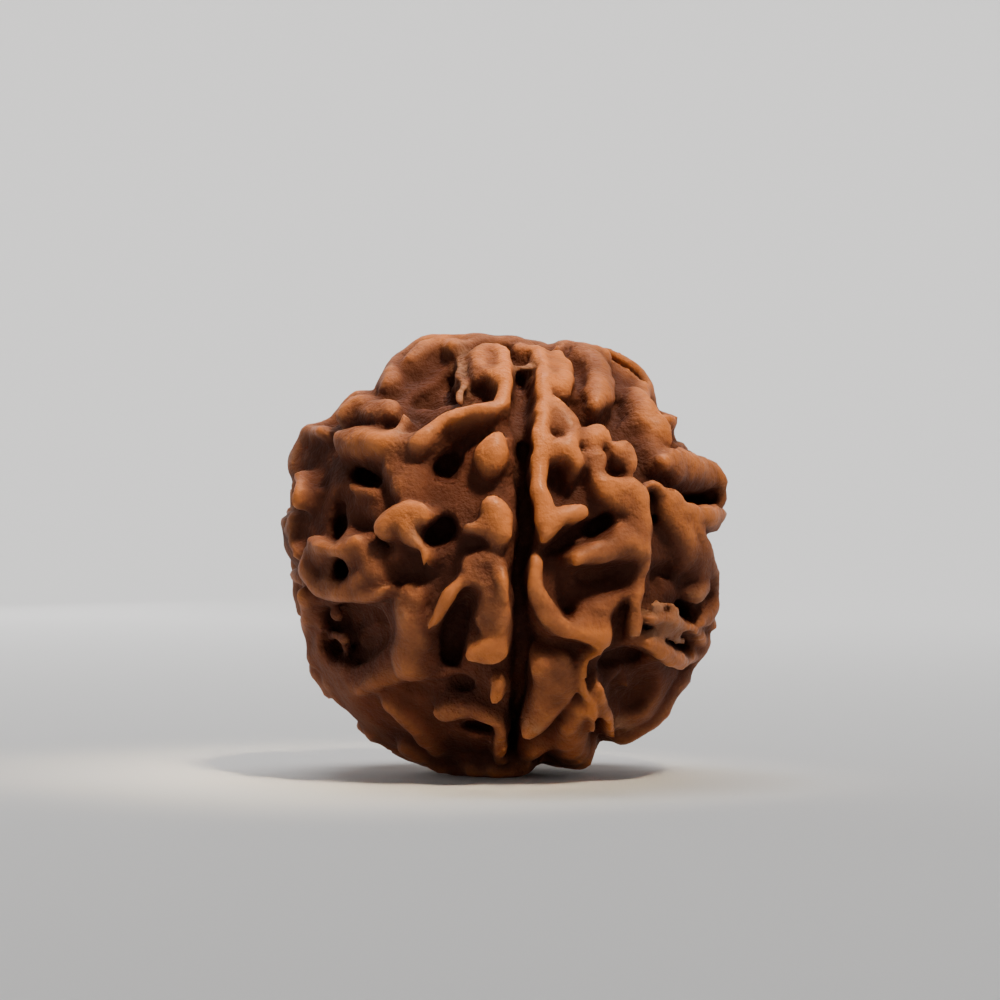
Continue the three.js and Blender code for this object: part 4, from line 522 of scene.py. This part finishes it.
# The stone is the zero surface of a distance kept on an even grid of points. The points
# are drawn in or pushed out in a belt round the limb, so that the ridges end on the outline
class StoneGrid:
    def __init__(self, step, reach):
        self.step, self.low = step, -reach
        self.count = int(2 * reach / step) + 1
        line = (np.arange(self.count) * step - reach).astype(np.float32)
        self.x, self.y, self.z = np.meshgrid(line, line, line, indexing="ij")
        self.radius = np.sqrt(self.x ** 2 + self.y ** 2 + self.z ** 2) + 1e-6
        self.height = self.z.copy()
        across, up = np.transpose(frontOutline)
        turns, rims = np.arctan2(up, across), np.hypot(across, up) / sizes["outlineRadius"]
        rim = np.interp(np.arctan2(self.z, self.x), turns, rims, period=2 * math.pi)
        turned = np.degrees(np.arccos(np.clip(-self.y / self.radius, -1, 1)))  # angle from the line of sight
        off = (turned - sizes["limbAngle"]) / sizes["limbWidth"]
        self.limb = np.exp(-off * off).astype(np.float32)
        self.swell = (1 + (rim - 1) * self.limb).astype(np.float32)
        self.margin = float(np.abs(1 - self.swell).max()) * sizes["crestRadius"]
        for name in ("x", "y", "z", "radius"):
            setattr(self, name, getattr(self, name) / self.swell)

    def block(self, low, high):  # the slices that hold a box
        start = [max(0, math.floor((v - self.margin - self.low) / self.step)) for v in low]
        stop = [min(self.count, math.ceil((v + self.margin - self.low) / self.step) + 1) for v in high]
        return tuple(slice(a, max(a, b)) for a, b in zip(start, stop))


def cordBox(cord, i, j, blend):  # the box that holds one piece of a cord and the walls at it
    spots = []
    for k in (i, j):
        at, radius, half, axis = cord["at"][k], cord["radius"][k], cord["half"][k], cord["axis"][k]
        far = sizes["coreRadius"] if cord["raised"] else sizes["pitTop"]
        wide = half + abs(radius - far) * ((cord["spread"] or 0) + 0.03) + blend + 0.3
        end = at * (far / radius) if axis is None else at + axis * ((far - radius) / float(axis @ at) * radius)
        for spot in (at, end):
            spots += [spot - wide, spot + wide]
    return np.min(spots, axis=0), np.max(spots, axis=0)


def cordDistance(grid, cord, warp, blend):
    count = len(cord["half"])
    pairs = [(i, i + 1) for i in range(count - 1)] or [(0, 0)]
    boxes = [cordBox(cord, i, j, blend) for i, j in pairs]
    whole = grid.block(np.min([b[0] for b in boxes], axis=0), np.max([b[1] for b in boxes], axis=0))
    best = np.full([s.stop - s.start for s in whole], 1e3, np.float32)
    for (i, j), (low, high) in zip(pairs, boxes):
        part = grid.block(low, high)
        inner = tuple(slice(p.start - w.start, p.stop - w.start) for p, w in zip(part, whole))
        radius = grid.radius[part]
        a, along = cord["at"][i], cord["at"][j] - cord["at"][i]
        size = float(along @ along)
        spot = [grid.x[part] + warp[0][part], grid.y[part] + warp[1][part], grid.z[part] + warp[2][part]]
        t = 0.5
        for repeat in range(2):  # where along the piece, first roughly and then with the radius found there
            line = cord["radius"][i] + (cord["radius"][j] - cord["radius"][i]) * t
            beyond = np.maximum(0, line - radius) if cord["raised"] else np.maximum(0, radius - line)
            if cord["spread"] is None:
                beyond = beyond * 0
            if cord["axis"][i] is None:
                scale = np.where(beyond > 0, line / radius, 1)
                px, py, pz = (values * scale - start for values, start in zip(spot, a))
            else:
                axis = (cord["axis"][i] + cord["axis"][j]) / 2
                back = beyond * (np.linalg.norm(a) / float(axis @ a))
                px, py, pz = (values - lean * back - start for values, lean, start in zip(spot, axis, a))
            t = np.clip((px * along[0] + py * along[1] + pz * along[2]) / size, 0, 1) if size > 0 else 0
        away = np.sqrt((px - along[0] * t) ** 2 + (py - along[1] * t) ** 2 + (pz - along[2] * t) ** 2)
        half = cord["half"][i] + (cord["half"][j] - cord["half"][i]) * t + beyond * (cord["spread"] or 0)
        best[inner] = np.minimum(best[inner], away - half)
    return whole, best


def join(a, b, blend):  # the nearer of two surfaces, with a fillet between them
    near = np.maximum(blend - np.abs(a - b), 0) / blend
    return np.minimum(a, b) - near * near * blend / 4


def lay(grid, distance, cords, warp, blend, sign):  # joins cords to what is there, or cuts them out of it
    for cord in cords:
        part, away = cordDistance(grid, cord, warp, blend)
        distance[part] = sign * join(sign * distance[part], away, blend)


def cordsAlone(grid, cords, warp, blend):
    distance = np.full(grid.radius.shape, 1e3, np.float32)
    lay(grid, distance, cords, warp, blend, 1)
    return distance


def stoneDistance():
    grid = StoneGrid(sizes["gridStep"], sizes["crestRadius"] + sizes["gridRoom"])
    x, y, z = grid.x, grid.y, grid.z
    # The ground swells slowly by lift, and warp bends every wall a little
    lift = (0.16 * np.sin(0.9 * x + 0.4 * z + 1) * np.sin(0.8 * y - 0.5 * x)
            + 0.12 * np.sin(1.1 * z + 0.7 * y + 2)).astype(np.float32)
    warp = [(sizes["wobble"] * np.sin(1.9 * b + 1.3 * c + turn) * np.sin(1.6 * c - 1.1 * a)).astype(np.float32)
            for a, b, c, turn in ((x, y, z, 0.3), (y, z, x, 1.7), (z, x, y, 2.9))]
    bodies = [raisedFromFront(row, sizes["bodyFlare"]) for row in frontBodies]
    bowls = [sunkFromFront(*row) for row in frontBowls]
    ridges = [raisedFromFront(row, sizes["ridgeFlare"]) for row in frontRidges]
    pits = [sunkFromFront(*row) for row in frontPits]
    fibres = [raisedFromFront(row, None) for row in frontFibres]
    growHidden(bodies, bowls, ridges, pits)
    raised = cordsAlone(grid, ridges, warp, sizes["ridgeBlend"])
    raised -= lift * sizes["swellShare"]
    moat = sizes["moatDepth"] * np.exp(-(np.maximum(raised, 0) / sizes["moatWidth"]) ** 2)
    distance = grid.radius - sizes["groundRadius"] - sizes["limbFill"] * grid.limb - lift + moat
    lay(grid, distance, bodies, warp, sizes["bodyBlend"], 1)
    lay(grid, distance, bowls, warp, sizes["bodyBlend"], -1)
    distance = join(distance, raised, sizes["groundBlend"])
    lay(grid, distance, pits, warp, sizes["pitBlend"], -1)
    lay(grid, distance, fibres, warp, sizes["pitBlend"], 1)
    core = np.minimum(distance, -sizes["coreDepth"])
    distance = np.where(grid.radius < sizes["coreRadius"], core, distance)
    pale = [fibre for fibre, row in zip(fibres, frontFibres) if row[0] in paleFibres]
    pale += [raisedCord(fromFront, 0, [spot], None) for spot in frontDry]
    dry = cordsAlone(grid, pale, warp, sizes["pitBlend"])
    # Pale crests: rubbed wear and partly painted highlight
    crests = [raisedCord(fromFront, 0, path, None) for path in frontRubbedAndLit]
    rubbed = cordsAlone(grid, crests, warp, sizes["ridgeBlend"])
    looks = {"dry": np.exp(-(np.maximum(dry, 0) / sizes["dryReach"]) ** 2),
             "rubbed": np.exp(-(np.maximum(rubbed, 0) / sizes["rubbedLitReach"]) ** 2)}
    return grid, distance * grid.swell, looks, sum(map(len, (bodies, bowls, ridges, pits, fibres)))


def boxBlur(values, reach):  # the mean over a cube that reaches this many points each way
    for axis in range(3):
        pad = [(reach + 1, reach) if axis == i else (0, 0) for i in range(3)]
        total = np.pad(np.cumsum(values, axis=axis, dtype=np.float64), pad, mode="edge")
        first = np.arange(values.shape[axis])
        lead = total.take(first + 2 * reach + 1, axis) - total.take(first, axis)
        values = (lead / (2 * reach + 1)).astype(np.float32)
    return values


def sample(grid, values, points):  # values of the grid at points between its own
    spot = (points - grid.low) / grid.step
    base = np.clip(np.floor(spot).astype(int), 0, grid.count - 2)
    part = spot - base
    shares = (1 - part, part)
    result = 0
    for i, j, k in np.ndindex(2, 2, 2):
        weight = shares[i][:, 0] * shares[j][:, 1] * shares[k][:, 2]
        result = result + weight * values[base[:, 0] + i, base[:, 1] + j, base[:, 2] + k]
    return result


def makeStoneMesh():
    grid, distance, fields, cordCount = stoneDistance()
    tell("stone field: %d cords, %d points a side", cordCount, grid.count)
    distance = np.maximum(distance + sizes["inset"], -grid.height - sizes["seatDrop"])
    reach = 3.0  # distances beyond this are cut off
    volume = openvdb.FloatGrid(background=reach)
    volume.copyFromArray(np.clip(distance, -reach, reach).astype(np.float32))
    points, quads = volume.convertToQuads(isovalue=0.0)
    points = points * grid.step + grid.low
    tell("stone surface: %d points, %d faces", len(points), len(quads))
    solid = np.clip(0.5 - distance / (1.8 * grid.step), 0, 1).astype(np.float32)
    mesh = bpy.data.meshes.new("rudraksha_surface")
    placed = points + [0, 0, sizes["seatDrop"]]
    mesh.from_pydata((placed * 0.001).tolist(), [], quads.tolist())
    looks = {name: sample(grid, values, points) for name, values in fields.items()}
    looks["height"] = sample(grid, grid.radius, points)
    # How much solid lies round each point, at three sizes; the finish uses these for painted shade in the
    # hollows
    for name, span in (("hollowFine", 0.3), ("hollowBroad", 0.9), ("hollowWide", 2.2)):
        steps = max(1, round(span / grid.step))
        looks[name] = sample(grid, boxBlur(boxBlur(solid, steps), steps), points)
    for name, values in looks.items():
        layer = mesh.attributes.new(name, "FLOAT", "POINT")
        layer.data.foreach_set("value", np.asarray(values, dtype=np.float32))
    mesh.validate()
    mesh.update()
    mesh.shade_smooth()
    return mesh


stoneMesh = makeStoneMesh()
stone = addObject("rudraksha_surface", stoneMesh)


class Socket:
    def __init__(self, tree, output):
        self.tree, self.output = tree, output

    def maths(self, operation, a, b=None):
        node = self.tree.nodes.new("ShaderNodeMath")
        node.operation = operation
        for place, value in enumerate((a, b)):
            if isinstance(value, Socket):
                self.tree.links.new(value.output, node.inputs[place])
            elif value is not None:
                node.inputs[place].default_value = value
        return Socket(self.tree, node.outputs[0])

    def __add__(self, other): return self.maths("ADD", self, other)
    def __radd__(self, other): return self.maths("ADD", other, self)
    def __sub__(self, other): return self.maths("SUBTRACT", self, other)
    def __rsub__(self, other): return self.maths("SUBTRACT", other, self)
    def __mul__(self, other): return self.maths("MULTIPLY", self, other)

    def between(self, low, high):  # 0 at low and below, 1 at high and above
        made = self.tree.nodes.new("ShaderNodeMapRange")
        self.tree.links.new(self.output, made.inputs[0])
        made.inputs[1].default_value, made.inputs[2].default_value = low, high
        return Socket(self.tree, made.outputs[0])


class Graph:
    def __init__(self, tree):
        self.tree = tree

    def node(self, kind, settings=None, **values):
        made = self.tree.nodes.new(kind)
        for key, value in (settings or {}).items():
            if key == "stops":
                ramp = made.color_ramp
                while len(ramp.elements) < len(value):
                    ramp.elements.new(0.5)
                for element, (place, colour) in zip(ramp.elements, value):
                    element.position = place
                    element.color = (*colour, 1)
            else:
                setattr(made, key, value)
        for key, value in values.items():
            self.give(made, int(key[2:]) if key[:2] == "at" else key.replace("_", " "), value)
        return made

    def give(self, made, name, value):  # a link from another node, or a plain value
        if isinstance(value, Socket):
            self.tree.links.new(value.output, made.inputs[name])
        else:
            made.inputs[name].default_value = value

    def out(self, made, name=0):
        return Socket(self.tree, made.outputs[name])


class Finish(Graph):
    def __init__(self, name):
        self.material = bpy.data.materials.new(name)
        self.material.use_nodes = True
        super().__init__(self.material.node_tree)
        self.shader = self.tree.nodes["Principled BSDF"]
        self.place = self.out(self.node("ShaderNodeTexCoord"), "Object")

    def attribute(self, name):
        return self.out(self.node("ShaderNodeAttribute", {"attribute_name": name}), "Fac")

    def noise(self, size, detail, rough=0.55):  # size in metres
        return self.out(self.node("ShaderNodeTexNoise", Vector=self.place, Scale=1 / size, Detail=detail,
                                  Roughness=rough), "Fac")

    def mix(self, share, one, other):
        made = self.node("ShaderNodeMix", {"data_type": "RGBA"}, at0=share, at6=one, at7=(*other, 1))
        return self.out(made, 2)

    def feed(self, name, value):
        self.give(self.shader, name, value)


# Colours run from the bottoms of the pits to the worn tops of the ridges, the dark end partly painted shade in
# the hollows
stoneLook = {
    "tones": [(0.0, (0.060, 0.0200, 0.0120)), (0.16, (0.066, 0.0215, 0.0125)),
              (0.36, (0.090, 0.0295, 0.0165)), (0.58, (0.155, 0.0540, 0.0275)),
              (0.80, (0.285, 0.0970, 0.0380)), (1.0, (0.500, 0.1600, 0.0430))],
    "stain": (0.115, 0.030, 0.010),  # a redder brown in broad soft patches
    "dry": (0.33, 0.170, 0.098),  # pale fibres and worn fuzz
    "stainShare": 0.28,  # how much of the stain and of the fuzz shows at most
    "dryShare": 0.6,
    "specular": 0.10,
    "coatShare": 0.28,  # natural polish of the worn crests
    "coatRoughness": 0.36,
    "crestRough": 0.50,
    "fleshRough": 0.72,
    "blotchSize": 0.0050,  # metres between the soft patches
    "mottleSize": 0.0011,
    "fibreSize": 0.00055,
    "grainSize": 0.00022,
    "grainDepth": 0.0003,  # metres from the bottom to the top of the drawn grain
}


def stoneFinish():
    look = stoneLook
    finish = Finish("rudraksha_finish")
    radius = finish.attribute("height")
    deep = radius.between(10.8, 13.4)
    shallow = radius.between(13.2, 15.0)
    fine, broad, wide, dry, rubbed = (finish.attribute(name) for name in (
        "hollowFine", "hollowBroad", "hollowWide", "dry", "rubbed"))
    blotch = finish.noise(look["blotchSize"], 2)
    mottle = finish.noise(look["mottleSize"], 4, 0.6)
    grain = finish.noise(look["grainSize"], 3, 0.6)
    # The tone is darker in the hollows and low down, as painted shade, and paler on narrow crests, as wear
    wearAndHollowShade = (0.52 - fine) * 2.6 + (0.5 - broad) * 1.4  # high on narrow crests, low in hollows
    # The rubbed crests add wear and painted highlight to the tone
    tonePlace = (deep * 0.22 + shallow * 0.36 + wearAndHollowShade * 0.35 + (0.5 - wide) * 0.5 + rubbed * 0.20
                 + (blotch - 0.5) * 0.42 + (mottle - 0.5) * 0.36 + (grain - 0.5) * 0.16)
    tone = finish.out(finish.node("ShaderNodeValToRGB", {"stops": look["tones"]}, Fac=tonePlace), "Color")
    stainShare = blotch.between(0.42, 0.66) * shallow.between(0.9, 0.2) * look["stainShare"]
    dryShare = dry * mottle.between(0.36, 0.60) * look["dryShare"]
    finish.feed("Base Color", finish.mix(dryShare, finish.mix(stainShare, tone, look["stain"]), look["dry"]))
    polish = wearAndHollowShade.between(0.0, 0.7) * shallow.between(0.3, 0.9)
    finish.feed("Roughness", look["fleshRough"] + polish * (look["crestRough"] - look["fleshRough"])
                + (mottle - 0.5) * 0.3 + (grain - 0.5) * 0.2)
    finish.feed("Specular IOR Level", look["specular"])
    finish.feed("Coat Roughness", look["coatRoughness"])
    finish.feed("Coat Weight", polish * mottle.between(0.35, 0.6) * look["coatShare"])
    fibre = finish.noise(look["fibreSize"], 3, 0.6)
    relief = (mottle * 0.8 + fibre * 0.5 + grain * 0.3) * (1.2 - polish * 0.5)
    bump = finish.node("ShaderNodeBump", Height=relief, Strength=0.8, Distance=look["grainDepth"])
    finish.feed("Normal", finish.out(bump, "Normal"))
    return finish.material


# The fine relief of the flesh is laid over the surface by a node tree
reliefSize = {
    "Flesh Size": 0.0010,  # metres between wrinkles
    "Flesh Depth": 0.00013,  # height of the relief on the flesh and on the crests
    "Crest Depth": 0.00009,
    "Seed": 7.0,
}


def reliefTree():
    tree = bpy.data.node_groups.new("stone_relief", "GeometryNodeTree")

    def addSocket(name, kind, side="INPUT"):
        tree.interface.new_socket(name, in_out=side, socket_type="NodeSocket" + kind)

    addSocket("Geometry", "Geometry")
    for name in reliefSize:
        addSocket(name, "Float")
    addSocket("Material", "Material")
    addSocket("Geometry", "Geometry", "OUTPUT")
    graph = Graph(tree)
    given = graph.node("NodeGroupInput")
    made = graph.node("NodeGroupOutput")

    def fromInput(name):
        return graph.out(given, name)

    place = graph.out(graph.node("GeometryNodeInputPosition"))
    normal = graph.out(graph.node("GeometryNodeInputNormal"))
    up = graph.out(graph.node("ShaderNodeSeparateXYZ", at0=place), "Z")
    hollow = graph.node("GeometryNodeInputNamedAttribute", {"data_type": "FLOAT"}, Name="hollowFine")
    flesh = graph.out(hollow, "Attribute").between(0.40, 0.52)
    depth = fromInput("Crest Depth") + flesh * (fromInput("Flesh Depth") - fromInput("Crest Depth"))
    clear = up.between(0.0003, 0.0012)  # the seat stays flat
    scale = graph.node("ShaderNodeMath", {"operation": "DIVIDE"}, at0=1.0, at1=fromInput("Flesh Size"))
    wave = graph.node("ShaderNodeTexNoise", {"noise_dimensions": "4D"}, Vector=place, Scale=graph.out(scale),
                      W=fromInput("Seed"), Detail=3.0, Roughness=0.55)
    amount = (graph.out(wave, "Fac") - 0.5) * 2 * depth * clear  # metres outwards
    shift = graph.node("ShaderNodeVectorMath", {"operation": "SCALE"}, at0=normal, Scale=amount)
    moved = graph.node("GeometryNodeSetPosition", Geometry=fromInput("Geometry"), Offset=graph.out(shift))
    realized = graph.node("GeometryNodeRealizeInstances", Geometry=graph.out(moved))
    coated = graph.node("GeometryNodeSetMaterial", Geometry=graph.out(realized), Material=fromInput("Material"))
    tree.links.new(coated.outputs[0], made.inputs[0])
    return tree


stoneMaterial = stoneFinish()
relief = stone.modifiers.new("stone_relief", "NODES")
relief.node_group = reliefTree()
socketItems = relief.node_group.interface.items_tree
sockets = {item.name: item.identifier for item in socketItems if item.in_out == "INPUT"}
for socketName, amount in reliefSize.items():
    relief[sockets[socketName]] = amount
relief[sockets["Material"]] = stoneMaterial
evaluated = stone.evaluated_get(bpy.context.evaluated_depsgraph_get())
finished = bpy.data.meshes.new_from_object(evaluated)
stone.modifiers.remove(relief)
stone.data = finished
finished.name = "rudraksha_surface"
bpy.data.meshes.remove(stoneMesh)
tell("relief laid: %d points", len(finished.vertices))
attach(stone, "root")
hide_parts("rudraksha_stone")

# Floor, light and camera, in metres
studio = {
    "middleHeight": 0.0143,
    "cameraDistance": 0.1827,
    "lens": 100,
    "shiftX": -0.001,
    "shiftY": 0.056,
    "floorFlat": 0.5,  # the floor is level this far out, then curves up into a backdrop
    "floorCurve": 0.3,  # radius of that curve
    "floorTop": 0.45,
}
flat, curve, turns = studio["floorFlat"], studio["floorCurve"], 64
floorMesh = bpy.data.meshes.new("studio_floor")
profile = [(0.02, 0), (flat, 0)]
for turn in map(math.radians, range(10, 91, 10)):
    profile.append((flat + curve * math.sin(turn), curve - curve * math.cos(turn)))
profile.append((flat + curve, studio["floorTop"]))
around = [(math.sin(math.tau * i / turns), math.cos(math.tau * i / turns)) for i in range(turns)]
floorPoints = [(0, 0, 0)] + [(far * x, far * y, up) for far, up in profile for x, y in around]
floorFaces = [(0, 1 + (i + 1) % turns, 1 + i) for i in range(turns)]
for start in range(1, 1 + turns * (len(profile) - 1), turns):
    for i in range(turns):
        a, b = start + i, start + (i + 1) % turns
        floorFaces.append((a, b, b + turns, a + turns))
floorMesh.from_pydata(floorPoints, [], floorFaces)
floorMesh.shade_smooth()
floor = addObject("studio_floor", floorMesh)
floorFinish = Finish("studio_floor")
floorFinish.feed("Base Color", (0.8, 0.79, 0.78, 1))
floorFinish.feed("Roughness", 0.9)
floorMesh.materials.append(floorFinish.material)

camera = addObject("camera", bpy.data.cameras.new("camera"))
camera.data.lens = studio["lens"]
camera.data.sensor_width = 36
camera.data.clip_start = 0.005
camera.location = (0, -studio["cameraDistance"], studio["middleHeight"])
camera.rotation_euler = (math.pi / 2, 0, 0)
camera.data.shift_x = studio["shiftX"]
camera.data.shift_y = studio["shiftY"]
bpy.context.scene.camera = camera

world = bpy.data.worlds.new("studio")
world.use_nodes = True
glow = world.node_tree.nodes["Background"].inputs
glow["Color"].default_value = (1, 1, 1, 1)
glow["Strength"].default_value = 0.05
bpy.context.scene.world = world


def addLamp(name, place, size, power, colour=(1, 1, 1), target=(0, 0, studio["middleHeight"]), spread=180):
    lamp = addObject(name, bpy.data.lights.new(name, "AREA"))
    lamp.data.size = size
    lamp.data.energy = power
    lamp.data.color = colour
    lamp.data.spread = math.radians(spread)
    lamp.location = place
    aim = Vector(target) - Vector(place)
    lamp.rotation_euler = aim.to_track_quat("-Z", "Y").to_euler()


# The key lamp is warm and narrow, so that the light falls off towards the lower half of the front
addLamp("key_lamp", (0.036, -0.062, 0.130), 0.030, 0.0058, (1.0, 0.82, 0.58), (-0.001, -0.011, 0.0232), 15)
addLamp("fill_lamp", (-0.12, -0.36, 0.34), 0.3, 0.03)
addLamp("rear_lamp", (-0.20, 0.42, 0.16), 0.3, 0.22)
addLamp("back_lamp", (0.0, 0.30, 0.9), 0.6, 11, (1, 1, 1), (0, 0.8, 0.25))

tell("scene made")
